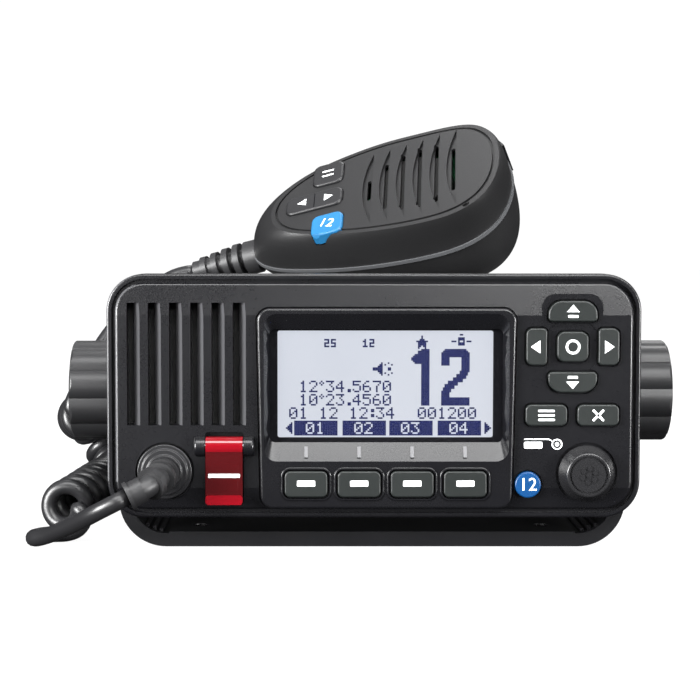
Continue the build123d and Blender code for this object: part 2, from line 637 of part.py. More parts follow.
def display_frame():
    body = plate(island_outline(), ISLAND_Y, ISLAND_BACK_Y)
    body = fillet(body.faces().sort_by(Axis.Y)[0].edges(), ISLAND_EDGE)
    body -= surround_cut()
    glass_h = GLASS_TOP - GLASS_BOTTOM
    middle = (GLASS_TOP + GLASS_BOTTOM) / 2
    body -= plate(rounded(ISLAND_X, middle, GLASS_W, glass_h, GLASS_R), SURROUND_Y - 0.1, ISLAND_BACK_Y + 1)
    seat = LENS_MARGIN + SEAT_GAP
    body -= plate(rounded(ISLAND_X, middle, GLASS_W + 2 * seat, glass_h + 2 * seat, GLASS_R + seat / 2),
                  LENS_Y, ISLAND_BACK_Y + 1)
    for x in soft_key_places():
        lip = rounded(x, SOFT_Z, SOFT_W + 2 * SOFT_LIP, SOFT_H + 2 * SOFT_LIP, SOFT_R + SOFT_LIP)
        ring = plate(lip, ISLAND_Y - SOFT_LIP_RISE, ISLAND_Y + 1)
        ring = fillet(ring.faces().sort_by(Axis.Y)[0].edges(), SOFT_LIP_RISE * 0.8)
        body += ring
        body -= plate(rounded(x, SOFT_Z, SOFT_W, SOFT_H, SOFT_R), ISLAND_Y - 1, ISLAND_Y + 1.6)
        body -= plate(rounded(x, SOFT_Z, SOFT_W - 2 * SOFT_MOAT + 2 * SLIDE_GAP,
                              SOFT_H - 2 * SOFT_MOAT + 2 * SLIDE_GAP, SOFT_R - SOFT_MOAT + SLIDE_GAP),
                      ISLAND_Y - 1, ISLAND_BACK_Y + 1)
        body += tick_rib(x)
    return body


def tick_rib(x):
    """A thin rib on the lower slope of the surround, over a soft key."""
    slope = math.atan2(GLASS_BOTTOM - MOUTH_BOTTOM, SURROUND_DEPTH)
    middle = FACE_Z + (MOUTH_BOTTOM + GLASS_BOTTOM) / 2
    rib = Box(TICK_W, TICK_L / math.sin(slope), 2 * TICK_RISE)
    return Pos(x, (ISLAND_Y + SURROUND_Y) / 2, middle) * Rot(X=math.degrees(slope)) * rib


def display_lens():
    middle = (GLASS_TOP + GLASS_BOTTOM) / 2
    height = GLASS_TOP - GLASS_BOTTOM + 2 * LENS_MARGIN
    return plate(rounded(ISLAND_X, middle, GLASS_W + 2 * LENS_MARGIN, height, GLASS_R + LENS_MARGIN / 2),
                 LENS_Y, LENS_Y + LENS_THICK)


def lcd_panel():
    middle = (GLASS_TOP + GLASS_BOTTOM) / 2
    height = GLASS_TOP - GLASS_BOTTOM + 2 * (LENS_MARGIN - LCD_MARGIN)
    return plate(rounded(ISLAND_X, middle, GLASS_W + 2 * (LENS_MARGIN - LCD_MARGIN), height, GLASS_R),
                 LENS_Y + LENS_THICK + LCD_GAP, BOARD_Y)


# ---------------------------------------------------------------- behind the face

def keypad_mat():
    """Two silicone sheets: one under the soft keys, one under the keys on the right."""
    low_w = 3 * SOFT_PITCH + SOFT_W + 2 * MAT_EDGE
    low = plate(Pos(SOFT_X, SOFT_Z) * Rectangle(low_w, SOFT_H + 2 * MAT_EDGE), MAT_Y, BOARD_Y)
    right_w = 2 * ARROW_REACH_X + ARROW_SHORT + 2 * MAT_EDGE
    top = PAD_Z + ARROW_REACH_Z + ARROW_SHORT / 2 + MAT_EDGE
    bottom = LOWER_Z - LOWER_H / 2 - MAT_EDGE
    right = plate(Pos(PAD_X, (top + bottom) / 2) * Rectangle(right_w, top - bottom), MAT_Y, BOARD_Y)
    channel = plate(Pos(CHANNEL_X, CHANNEL_Z) * Circle(CHANNEL_R + MAT_EDGE), MAT_Y, BOARD_Y)
    distress = plate(Pos(COVER_X, DISTRESS_Z) * Rectangle(DISTRESS_W, DISTRESS_H), MAT_Y, BOARD_Y)
    return Compound([low, right, channel, distress])


def front_board():
    sheet = plate(rounded(0, 0, PANEL_W - 6, PANEL_H - 4, 4), BOARD_Y, BOARD_BACK_Y)
    sheet -= plate(Pos(SPEAKER_X, SPEAKER_Z) * Circle(SPEAKER_R + 1), BOARD_Y - 1, BOARD_BACK_Y + 1)
    sheet -= plate(Pos(GLAND_X, GLAND_Z) * Circle(GLAND_NUT_R + 1), BOARD_Y - 1, BOARD_BACK_Y + 1)
    for x, z in SCREW_SPOTS:
        sheet -= plate(Pos(x, z) * Circle(SCREW_R + 2), BOARD_Y - 1, BOARD_BACK_Y + 1)
    return sheet


def encoder():
    back = BOARD_Y
    front = WALL_Y + 0.2
    case = plate(Pos(KNOB_X, KNOB_Z) * Rectangle(ENCODER_W, ENCODER_W), front, back)
    return case - plate(Pos(KNOB_X, KNOB_Z) * Circle(SHAFT_R + PIVOT_GAP), front - 1, back + 1)


def encoder_shaft():
    front = PANEL_Y - KNOB_H + KNOB_WALL + SEAT_GAP
    back = BOARD_Y - KNOB_PUSH - MAT_GAP
    return plate(Pos(KNOB_X, KNOB_Z) * Circle(SHAFT_R), front, back)


def volume_knob():
    back = PANEL_Y - KNOB_PUSH + 0.2
    front = PANEL_Y - KNOB_H
    base = face_plane(back) * (Pos(KNOB_X, KNOB_Z) * Circle(KNOB_R))
    top = face_plane(front) * (Pos(KNOB_X, KNOB_Z) * Circle(KNOB_TOP_R))
    body = loft([base, top])
    for index in range(KNOB_FLUTES):
        angle = 2 * math.pi * (index + 0.5) / KNOB_FLUTES
        reach = KNOB_R + KNOB_FLUTE_R - KNOB_FLUTE_DEPTH
        x = KNOB_X + reach * math.cos(angle)
        z = KNOB_Z + reach * math.sin(angle)
        body -= plate(Pos(x, z) * Circle(KNOB_FLUTE_R), front - 1, back - 1.2)
    body = fillet(body.faces().sort_by(Axis.Y)[0].outer_wire().edges(), 0.8)
    ring = Circle(KNOB_FACE_R + 0.35) - Circle(KNOB_FACE_R - 0.35)
    body -= plate(Pos(KNOB_X, KNOB_Z) * ring, front - 1, front + 0.5)
    for index in range(7):
        angle = math.pi / 3 * index + math.radians(KNOB_BEAD_TURN)
        reach = KNOB_BEAD_PITCH if index < 6 else 0.0
        spot = Pos(KNOB_X + reach * math.cos(angle), KNOB_Z + reach * math.sin(angle))
        body += plate(spot * Circle(KNOB_BEAD_R), front - 0.35, front + 0.1)
    bore = plate(Pos(KNOB_X, KNOB_Z) * Circle(SHAFT_R + PIVOT_GAP), front + KNOB_WALL, back + 1)
    return body - bore


def speaker_net():
    width = SLOT_COUNT * SLOT_PITCH + 4
    x = SLOT_FIRST_X + width / 2 - 2
    height = SLOT_TOP - SLOT_BOTTOM + 1.2
    z = (SLOT_TOP + SLOT_BOTTOM) / 2
    return plate(rounded(x, z, width, height, 2), WALL_Y, WALL_Y + NET_T)


def speaker_frame():
    front = WALL_Y + NET_T
    spot = Pos(SPEAKER_X, SPEAKER_Z)
    magnet = front + SPEAKER_DEPTH - SPEAKER_MAGNET_T
    rim = plate(spot * Circle(SPEAKER_R), front, front + SPEAKER_RIM)
    cone_top = face_plane(front + SPEAKER_RIM) * (spot * Circle(SPEAKER_R))
    cone_foot = face_plane(magnet) * (spot * Circle(SPEAKER_MAGNET_R))
    shell = rim + loft([cone_top, cone_foot])
    shell += plate(spot * Circle(SPEAKER_MAGNET_R), magnet - 0.01, front + SPEAKER_DEPTH)
    hollow_top = face_plane(front - 0.1) * (spot * Circle(SPEAKER_R - SPEAKER_EDGE))
    hollow_foot = face_plane(magnet - SPEAKER_EDGE) * (spot * Circle(SPEAKER_MAGNET_R - SPEAKER_THROAT))
    return shell - loft([hollow_top, hollow_foot])


def speaker_cone():
    front = WALL_Y + NET_T
    spot = Pos(SPEAKER_X, SPEAKER_Z)
    wide = SPEAKER_R - SPEAKER_EDGE - CONE_ROOM
    narrow = SPEAKER_MAGNET_R - SPEAKER_THROAT - CONE_ROOM
    foot = front + SPEAKER_DEPTH - SPEAKER_MAGNET_T - SPEAKER_EDGE
    outer = loft([face_plane(front + CONE_ROOM / 2) * (spot * Circle(wide)),
                  face_plane(foot) * (spot * Circle(narrow))])
    inner = loft([face_plane(front + CONE_ROOM / 2 - 0.1) * (spot * Circle(wide - SPEAKER_SHEET)),
                  face_plane(foot - SPEAKER_SHEET) * (spot * Circle(narrow - SPEAKER_SHEET))])
    return outer - inner


def mic_gland():
    spot = Pos(GLAND_X, GLAND_Z)
    seat = PANEL_Y + GLAND_SEAT
    body = plate(spot * Circle(GLAND_R), PANEL_Y - GLAND_RISE + GLAND_STEP, seat)
    body += plate(spot * Circle(GLAND_R - GLAND_STEP), PANEL_Y - GLAND_RISE, seat)
    body += plate(spot * Circle(GLAND_R - 2.2 * GLAND_STEP), PANEL_Y - GLAND_RISE - GLAND_TOP, seat)
    body = fillet([e for e in body.edges() if e.geom_type == GeomType.CIRCLE
                   and e.center().Y < PANEL_Y - 0.5 and e.radius > GLAND_NECK_R + 0.5
                   and e.center().Y < PANEL_Y - GLAND_RISE + GLAND_STEP + 0.01], 0.35)
    body += plate(spot * Circle(GLAND_NECK_R), seat - 0.01, WALL_Y + 0.01)
    return body + plate(spot * Circle(GLAND_NUT_R), WALL_Y, WALL_Y + GLAND_NUT_T)


def flange_outline(inset=0.0):
    """Outline of the chassis flange, which follows the front panel's."""
    margin = FLANGE_INSET + inset
    return RectangleRounded(FACE_W - 2 * margin, FACE_H - 2 * margin, FACE_R - margin)


def panel_gasket():
    ring = flange_outline() - flange_outline(GASKET_W)
    for x, z in SCREW_SPOTS:
        ring -= Pos(x, z) * Circle(POST_R + SEAT_GAP)
    return plate(ring, FACE_BACK_Y, CHASSIS_Y)


# ---------------------------------------------------------------- chassis

def side_boss(side):
    """Toothed disc round the clamp knob's thread."""
    wall = side * CHASSIS_W / 2
    return rod(BOSS_R, wall - side * 0.5, wall + side * BOSS_T, 0, HINGE_Z)


def rear_chassis():
    outline = Pos(0, CHASSIS_LIFT) * RectangleRounded(CHASSIS_W, CHASSIS_H, CHASSIS_R)
    body = plate(outline, CHASSIS_Y, CHASSIS_BACK_Y)
    body += plate(flange_outline(), CHASSIS_Y, CHASSIS_Y + FLANGE_T)
    inner = RectangleRounded(CHASSIS_W - 2 * CHASSIS_WALL, CHASSIS_H - 2 * CHASSIS_WALL, CHASSIS_R - 2)
    body -= plate(Pos(0, CHASSIS_LIFT) * inner, CHASSIS_Y - 1, CHASSIS_FLOOR_Y)
    body -= plate(Pos(0, CHASSIS_LIFT) * Rectangle(FIN_SPAN + 2 * SEAT_GAP, CHASSIS_H + 2),
                  CHASSIS_BACK_Y - FIN_DEPTH, CHASSIS_BACK_Y + 1)
    for x, z in FIN_SCREWS:
        body -= plate(Pos(x, CHASSIS_LIFT + z) * Circle(SCREW_R), CHASSIS_FLOOR_Y - 1, CHASSIS_BACK_Y)
    for side in (-1, 1):
        body += side_boss(side)
        lug_end = CHASSIS_W / 2 - CHASSIS_WALL - LUG_L
        body += rod(STUD_R + LUG_WALL, side * lug_end, side * (CHASSIS_W / 2 - 1), 0, HINGE_Z)
        body -= rod(STUD_R + BODY_GAP, side * (lug_end - 1), side * (CHASSIS_W / 2 + 5), 0, HINGE_Z)
    for x, z in SCREW_SPOTS:
        body -= plate(Pos(x, z) * Circle(SCREW_R), CHASSIS_Y - 1, CHASSIS_Y + FLANGE_T + 1)
    body += standoffs()
    for x, z, radius, length, bore in REAR_SOCKETS.values():
        body -= plate(Pos(x, z) * Circle(radius - SOCKET_WALL + SEAT_GAP),
                      CHASSIS_FLOOR_Y - 1, CHASSIS_BACK_Y + 1)
    return body


def heat_sink():
    foot = CHASSIS_BACK_Y - FIN_DEPTH
    body = plate(Pos(0, CHASSIS_LIFT) * Rectangle(FIN_SPAN, CHASSIS_H), foot, foot + FIN_BASE)
    pitch = (FIN_SPAN - FIN_T) / (FIN_COUNT - 1)
    for index in range(FIN_COUNT):
        x = (FIN_T - FIN_SPAN) / 2 + index * pitch
        body += plate(Pos(x, CHASSIS_LIFT) * Rectangle(FIN_T, CHASSIS_H), foot, CHASSIS_BACK_Y)
    for x, z in FIN_SCREWS:
        body -= plate(Pos(x, CHASSIS_LIFT + z) * Circle(THREAD_R), foot - 1, foot + FIN_THREAD + 0.5)
    return body


def screw(x, z, seat, end, way):
    """A cross-head screw along Y: its head stands behind (+1) or before (-1) the seat."""
    low, high = sorted((seat, seat + way * SCREW_HEAD_T))
    body = plate(Pos(x, z) * Circle(SCREW_HEAD_R), low, high)
    low, high = sorted((end, seat + way * 0.01))
    body += plate(Pos(x, z) * Circle(THREAD_R), low, high)
    top = seat + way * SCREW_HEAD_T
    return body - plate(Pos(x, z) * (Rectangle(3.4, 0.8) + Rectangle(0.8, 3.4)), top - 1, top + 1)


def heat_sink_screws():
    end = CHASSIS_BACK_Y - FIN_DEPTH + FIN_THREAD
    return Compound([screw(x, CHASSIS_LIFT + z, CHASSIS_FLOOR_Y, end, -1) for x, z in FIN_SCREWS])


# ---------------------------------------------------------------- inside and behind the chassis

def board_z():
    return CHASSIS_Z + MAIN_BOARD_Z


def main_board():
    front = CHASSIS_Y + BOARD_FRONT
    depth = CHASSIS_FLOOR_Y - BOARD_BACK - front
    return Pos(0, front + depth / 2, board_z() + BOARD_T / 2) * Box(BOARD_W, depth, BOARD_T)


def standoffs():
    """Posts of the chassis that carry the main board."""
    floor_z = CHASSIS_Z - CHASSIS_H / 2 + CHASSIS_WALL - 0.5
    height = board_z() - floor_z
    posts = Part()
    for x in (POST_SIDE - BOARD_W / 2, BOARD_W / 2 - POST_SIDE):
        for y in (CHASSIS_Y + POST_FRONT, CHASSIS_FLOOR_Y - POST_BACK):
            posts += Pos(x, y, floor_z + height / 2) * Cylinder(STANDOFF_R, height)
    return posts


def shield_can():
    base = board_z() + BOARD_T
    can = Pos(0, 0, base + CAN_H / 2) * Box(CAN_W, CAN_D, CAN_H)
    can = fillet(can.edges().filter_by(Axis.Z), 1.5)
    return can - Pos(0, 0, base + CAN_H / 2 - 1) * Box(CAN_W - 2, CAN_D - 2, CAN_H)


def chassis_screws():
    seat = CHASSIS_Y + FLANGE_T
    end = WALL_Y + THREAD_END + 0.5
    return Compound([screw(x, z, seat, end, 1) for x, z in SCREW_SPOTS])


def rear_socket(x, z, radius, length, bore):
    spot = Pos(x, z)
    back = CHASSIS_BACK_Y
    body = plate(spot * Circle(radius + SOCKET_FLANGE), back, back + SOCKET_FLANGE_T)
    body += plate(spot * Circle(radius), back, back + length)
    body += plate(spot * Circle(radius - SOCKET_WALL), back - SOCKET_STEM, back + 1)
    return body - plate(spot * Circle(bore), back + SOCKET_FLOOR, back + length + 1)


# ---------------------------------------------------------------- bracket and clamp knobs

def front_view(y):
    """Plane across the part: its x is X, its y is height above the surface."""
    return Plane(origin=(0, y, 0), x_dir=(1, 0, 0), z_dir=(0, -1, 0))


def u_shape(width, bottom, top, radius):
    sketch = Pos(0, (bottom + top) / 2) * Rectangle(width, top - bottom)
    return fillet(sketch.vertices().sort_by(Axis.Y)[:2], radius)


def mounting_bracket():
    top = HINGE_Z + ARM_R
    outer = u_shape(BRACKET_W, 0, top, BRACKET_R)
    inner = u_shape(BRACKET_W - 2 * BRACKET_T, FLOOR_T, top + 5, BRACKET_R - BRACKET_T)
    body = extrude(front_view(BRACKET_D / 2) * (outer - inner), BRACKET_D)
    body += Pos(0, 0, FLOOR_T + PLATEAU_RISE / 2 - 0.5) * Box(PLATEAU_W, BRACKET_D, PLATEAU_RISE + 1)
    foot = Pos(0, BRACKET_R / 2) * Rectangle(BRACKET_D, BRACKET_R)
    eye = Pos(0, HINGE_Z) * Circle(ARM_R)
    side = make_hull([*foot.edges(), *eye.edges()])
    body = body & extrude(Plane.YZ.offset(-BRACKET_W) * side, 2 * BRACKET_W)
    for x in (-1, 1):
        for y in (-1, 1):
            spot = Pos(x * HOLE_SPACING_X / 2, y * HOLE_SPACING_Y / 2, FLOOR_T / 2)
            body -= spot * Cylinder(HOLE_R, 3 * FLOOR_T)
    body -= rod(STUD_R + BODY_GAP, -BRACKET_W, BRACKET_W, 0, HINGE_Z)
    for side in (-1, 1):
        for index in range(RIB_COUNT):
            x = side * (PLATEAU_W / 2 + 3.0 + index * 2 * RIB_T)
            height = 2.2 + index * 1.0
            body += Pos(x, 0, FLOOR_T + height / 2 - 1) * Box(RIB_T, BRACKET_D - 6, height)
    return body


def lobed_disc():
    lobe_r = CLAMP_LOBE_R
    reach = CLAMP_R - lobe_r
    sketch = Circle(reach)
    for index in range(CLAMP_LOBES):
        angle = 2 * math.pi * (index + CLAMP_LOBE_TURN) / CLAMP_LOBES
        sketch += Pos(reach * math.cos(angle), reach * math.sin(angle)) * Circle(lobe_r)
    return sketch


def clamp_knob(side):
    inner = side * CLAMP_INNER_X
    outer = inner + side * CLAMP_T
    plane = Plane(origin=(inner, 0, HINGE_Z), x_dir=(0, 1, 0), z_dir=(side, 0, 0))
    body = extrude(plane * lobed_disc(), CLAMP_T)
    drum = rod(CLAMP_R + 0.01, inner, outer, 0, HINGE_Z)
    outer_edges = [e for e in drum.edges() if abs(e.center().X - outer) < 0.01]
    drum = fillet(outer_edges, CLAMP_EDGE)
    body = body & drum
    body -= rod(CLAMP_HOLLOW_R, outer - side * CLAMP_HOLLOW, outer + side, 0, HINGE_Z)
    body += rod(CLAMP_HOLLOW_R - 1.2, outer - side * CLAMP_HOLLOW, outer - side * 0.8, 0, HINGE_Z)
    return body - rod(STUD_R, inner - side, inner + side * STUD_SINK, 0, HINGE_Z)


def clamp_stud(side):
    start = side * (CLAMP_INNER_X + STUD_SINK)
    return rod(STUD_R, start - side * STUD_L, start, 0, HINGE_Z)


def clamp_washer(side):
    outer = side * CLAMP_INNER_X
    ring = rod(WASHER_R, outer - side * WASHER_T, outer, 0, HINGE_Z)
    return ring - rod(STUD_R, outer - side * WASHER_T * 2, outer + side, 0, HINGE_Z)


# ---------------------------------------------------------------- hand microphone

MIC = Pos(MIC_X, MIC_Y, MIC_Z) * Rot(0, 0, MIC_TURN) * Rot(MIC_TILT, 0, 0) * Rot(0, -MIC_RISE, 0)
MIC_TAIL = MIC_UPPER[0][0]


def mic_outline(inset=0.0, slim=0.0):
    """Egg-shaped outline, made smaller by about the inset all round, and slimmer by slim on each side."""
    length = MIC_UPPER[-1][0] - MIC_TAIL
    width = max(y for x, y in MIC_UPPER) - min(y for x, y in MIC_LOWER)
    kx = (length - 2 * inset) / length
    ky = (width - 2 * inset - 2 * slim) / width
    points = [(x * kx, y * ky) for x, y in [*MIC_UPPER, *reversed(MIC_LOWER)]]
    return Rot(0, 0, MIC_SKEW) * make_face(Spline(*points, periodic=True))


def mic_back_angle():
    return math.degrees(math.atan2(MIC_HEAD_DEEP - MIC_TAIL_DEEP, MIC_HEAD_AT - MIC_TAIL))


def mic_back_plane(share, shift=0.0):
    """A plane part of the way from the seam to the back; the back leans, so that the head is thick."""
    angle = mic_back_angle() * share
    middle = MIC_TAIL_DEEP - math.tan(math.radians(mic_back_angle())) * MIC_TAIL
    lean = math.radians(angle)
    return Plane(origin=(0, 0, -middle * share + shift),
                 x_dir=(math.cos(lean), 0, -math.sin(lean)), z_dir=(math.sin(lean), 0, math.cos(lean)))


def mic_shell_solid(sign, inset):
    """Closed front (+1) or rear (-1) half, made smaller by the inset."""
    if sign > 0:
        base = MIC_SEAM_T / 2
        top = MIC_FACE - inset
        faces = [Pos(x, y, base + share * (top - base)) * mic_outline(inset + short, slim - short)
                 for share, short, slim, x, y in MIC_STATIONS]
        return loft(faces)
    faces = [Pos(0, 0, -MIC_SEAM_T / 2) * mic_outline(inset)]
    for share, shrink in ((0.5, 1.0), (0.82, 3.4), (1.0, 8.0)):
        lift = inset * 0.99 if share == 1.0 else 0.0
        faces.append(mic_back_plane(share, lift) * mic_outline(inset + shrink))
    return loft(faces)


def bow_shape(length, width):
    """A bow, long in y: straight on the right and curved on the left."""
    string = Line((width / 2, -length / 2), (width / 2, length / 2))
    arc = ThreePointArc((width / 2, length / 2), (-width / 2, 0), (width / 2, -length / 2))
    return make_face([string, arc])


def mic_ring():
    """Groove round the face of the front shell."""
    share, short, slim, x, y = MIC_STATIONS[-1]
    outer = mic_outline(short + MIC_RING, slim - short)
    inner = mic_outline(short + MIC_RING + MIC_RING_W, slim - short)
    return Pos(x, y, MIC_FACE - MIC_RING_DEPTH) * extrude(outer - inner, MIC_RING_DEPTH + 1)


def mic_key(name):
    x, y, width, height, radius = MIC_KEYS[name]
    cap = Pos(x, y, MIC_FACE - MIC_KEY_ROOT) * extrude(
        RectangleRounded(width, height, radius), MIC_KEY_ROOT + MIC_KEY_RISE)
    cap = fillet(cap.faces().sort_by(Axis.Z)[-1].edges(), MIC_KEY_EDGE)
    return cap & mic_shell_solid(1, -MIC_KEY_RISE)


def mic_front_shell():
    body = mic_shell_solid(1, 0.0) - mic_shell_solid(1, MIC_WALL)
    for index in range(MIC_SLOTS):
        x = MIC_SLOT_X + (index - (MIC_SLOTS - 1) / 2) * MIC_SLOT_PITCH
        length = MIC_SLOT_L - MIC_SLOT_STEP * (MIC_SLOTS - 1 - index)
        spot = Pos(x, MIC_SLOT_Y, MIC_FACE)
        body -= spot * Pos(0, 0, -MIC_SLOT_DEPTH) * extrude(bow_shape(length, MIC_SLOT_W), 3)
        slit = RectangleRounded(MIC_SLIT_W, length * MIC_SLIT_SHARES[index], MIC_SLIT_W * 0.49)
        body -= spot * Pos(MIC_SLIT_SIDE, 0, -MIC_WALL - 2) * extrude(slit, MIC_WALL + 4)
    body -= mic_ring()
    body -= Pos(MIC_PIT_X, MIC_PIT_Y, MIC_FACE - MIC_PIT_DEPTH) * extrude(Circle(MIC_PIT_R), 4)
    for x, y, width, height, radius in MIC_KEYS.values():
        window = RectangleRounded(width + 2 * SLIDE_GAP, height + 2 * SLIDE_GAP, radius + SLIDE_GAP)
        depth = MIC_KEY_ROOT + MIC_KEY_TRAVEL + BODY_GAP
        body -= Pos(x, y, MIC_FACE - depth) * extrude(window, depth + 4)
    return body - boot_seat() - ptt_pocket()


def ptt_zone(outset, depth, top, margin, room):
    """A band along the far side of the rear shell and round its head corner, with room past its end."""
    band = mic_outline(-outset) - mic_outline(depth)
    band = extrude(Pos(0, 0, top - PTT_H - 2 * margin) * band, PTT_H + 2 * margin)
    size = 2 * MIC_UPPER[-1][0]
    corner = Pos((size / 2) + PTT_START - margin, (size / 2) + PTT_END - room, 0)
    return band & corner * Box(size, size, size)


def ptt_pocket(depth=PTT_POCKET):
    """Room for the lever and its swing, across both shells and the strip between them."""
    return ptt_zone(PTT_PROUD + 2, depth, PTT_TOP + BODY_GAP, BODY_GAP, PTT_ROOM)


def mic_rear_shell():
    body = mic_shell_solid(-1, 0.0) - mic_shell_solid(-1, MIC_WALL) - ptt_pocket()
    plane = mic_back_plane(1.0)
    for x, y in MIC_SCREWS:
        body -= plane * Pos(x, y, -1) * extrude(Circle(MIC_SCREW_R + SEAT_GAP), 1.8)
        body -= plane * Pos(x, y, -1) * extrude(Circle(MIC_THREAD_R), MIC_THREAD_L + 2)
    body -= plane * Pos(HANGER_X, 0, -1) * extrude(Circle(HANGER_NECK_R / 2), 6)
    return body - boot_seat()


def mic_screws():
    plane = mic_back_plane(1.0)
    pieces = []
    for x, y in MIC_SCREWS:
        head = plane * Pos(x, y, -0.6) * extrude(Circle(MIC_SCREW_R), 1.3)
        head += plane * Pos(x, y, 0) * extrude(Circle(MIC_THREAD_R), MIC_THREAD_L)
        head -= plane * Pos(x, y, -1.4) * extrude(Rectangle(2.6, 0.6) + Rectangle(0.6, 2.6), 1.2)
        pieces.append(head)
    return Compound(pieces)


def mic_seam():
    ring = mic_outline(-MIC_SEAM_PROUD) - mic_outline(MIC_WALL + MIC_SEAM_IN)
    body = Pos(0, 0, -MIC_SEAM_T / 2) * extrude(ring, MIC_SEAM_T)
    return body - boot_seat() - ptt_pocket(PTT_SEAM_POCKET)


def mic_hanger():
    plane = mic_back_plane(1.0)
    neck = plane * Pos(HANGER_X, 0, -HANGER_NECK) * extrude(Circle(HANGER_NECK_R), HANGER_NECK)
    disc = plane * Pos(HANGER_X, 0, -HANGER_NECK - HANGER_T) * extrude(Circle(HANGER_R), HANGER_T)
    disc = fillet(disc.edges(), 1.0)
    pin = plane * Pos(HANGER_X, 0, -0.5) * extrude(Circle(HANGER_NECK_R / 2), 5)
    return neck + disc + pin


def mic_speaker():
    top = MIC_FACE - MIC_WALL - BODY_GAP
    return Pos(MIC_SLOT_X, MIC_SLOT_Y, top - MIC_SPEAKER_T) * extrude(Circle(MIC_SPEAKER_R), MIC_SPEAKER_T)


def mic_board():
    top = MIC_FACE - MIC_WALL - BODY_GAP - MIC_SPEAKER_T - MAT_GAP
    share, short, slim, x, y = MIC_STATIONS[1]
    outline = mic_outline(MIC_WALL + short + MIC_BOARD_MARGIN, slim - short)
    return Pos(x, y, top - MIC_BOARD_T) * extrude(outline, MIC_BOARD_T)


def ptt_lever():
    return ptt_zone(PTT_PROUD, PTT_THICK - PTT_PROUD, PTT_TOP, 0.0, 0.0)


def boot_frame():
    """Axes of the cord boot: z points out of the tail of the microphone."""
    skew = math.radians(MIC_SKEW)
    place = Pos(MIC_TAIL * math.cos(skew) + BOOT_START, MIC_TAIL * math.sin(skew), BOOT_DROP)
    return place * Rot(0, BOOT_TURN, 0)


def boot_seat():
    """Room for the boot's stem and shoulder in the tail of the microphone."""
    frame = boot_frame()
    stem = frame * Pos(0, 0, -BOOT_STEM - 1) * extrude(Circle(BOOT_STEM_R + SEAT_GAP), BOOT_STEM + 3)
    return stem + frame * Pos(0, 0, BOOT_SHOULDER - SEAT_GAP) * extrude(Circle(BOOT_R + SEAT_GAP), 10)


def mic_boot():
    frame = boot_frame()
    body = frame * Pos(0, 0, -BOOT_STEM) * extrude(Circle(BOOT_STEM_R), BOOT_STEM + 2)
    body += frame * Pos(0, 0, BOOT_SHOULDER) * extrude(Circle(BOOT_R), BOOT_SHOULDER_T)
    body += frame * Pos(0, 0, 3) * extrude(Circle(BOOT_END_R), BOOT_L - 3)
    pitch = (BOOT_L - 9) / BOOT_RIBS
    for index in range(BOOT_RIBS):
        radius = BOOT_R - (BOOT_R - BOOT_END_R - 0.4) * index / BOOT_RIBS
        place = BOOT_L - 1 - (BOOT_RIBS - index) * pitch
        body += frame * Pos(0, 0, place) * extrude(Circle(radius), pitch * 0.5)
    return body


# ---------------------------------------------------------------- cord

def bend_radii(points):
    radii = []
    for before, corner, after in zip(points, points[1:], points[2:]):
        run = min((corner - before).length, (after - corner).length)
        turn = math.radians((corner - before).get_angle(after - corner))
        radii.append(BEND_SHARE * run / math.tan(turn / 2))
    return radii


def cord_tube(name, route, diameter):
    points = [Vector(*p) for p in route]
    radii = bend_radii(points)
    path = FilletPolyline(*points, radius=radii)
    start = Plane(origin=path @ 0, z_dir=path % 0)
    tube = sweep(start * Circle(diameter / 2), path=path)
    section = math.pi * diameter ** 2 / 4
    print(name, "length", round(path.length, 1), "volume ratio",
          round(tube.volume / (section * path.length), 4), "radii", [round(r, 1) for r in radii])
    return tube


def mic_lead_end():
    """Where the cord meets the microphone's boot."""
    end = (MIC * boot_frame() * Pos(0, 0, BOOT_L + LEAD_GAP)).position
    return (end.X, end.Y, end.Z)


def cord_boot():
    """Bent ribbed boot between the gland and the cord."""
    points = [Vector(*p) for p in BOOT_ROUTE]
    path = FilletPolyline(*points, radius=bend_radii(points))
    start = Plane(origin=path @ 0, z_dir=path % 0)
    body = sweep(start * Circle(BOOT_CORE_R), path=path)
    for share in BOOT_RIB_SPOTS:
        plane = Plane(origin=path @ share, z_dir=path % share)
        body += plane * extrude(Circle(BOOT_RIB_R), BOOT_RIB_T)
    end = Plane(origin=path @ 1, z_dir=path % 1)
    body += end * Pos(0, 0, -BOOT_SLEEVE_L) * extrude(Circle(BOOT_SLEEVE_R), BOOT_SLEEVE_L)
    return body + end * Pos(0, 0, -BOOT_LIP_T) * extrude(Circle(BOOT_LIP_R), BOOT_LIP_T)


# ---------------------------------------------------------------- write the parts

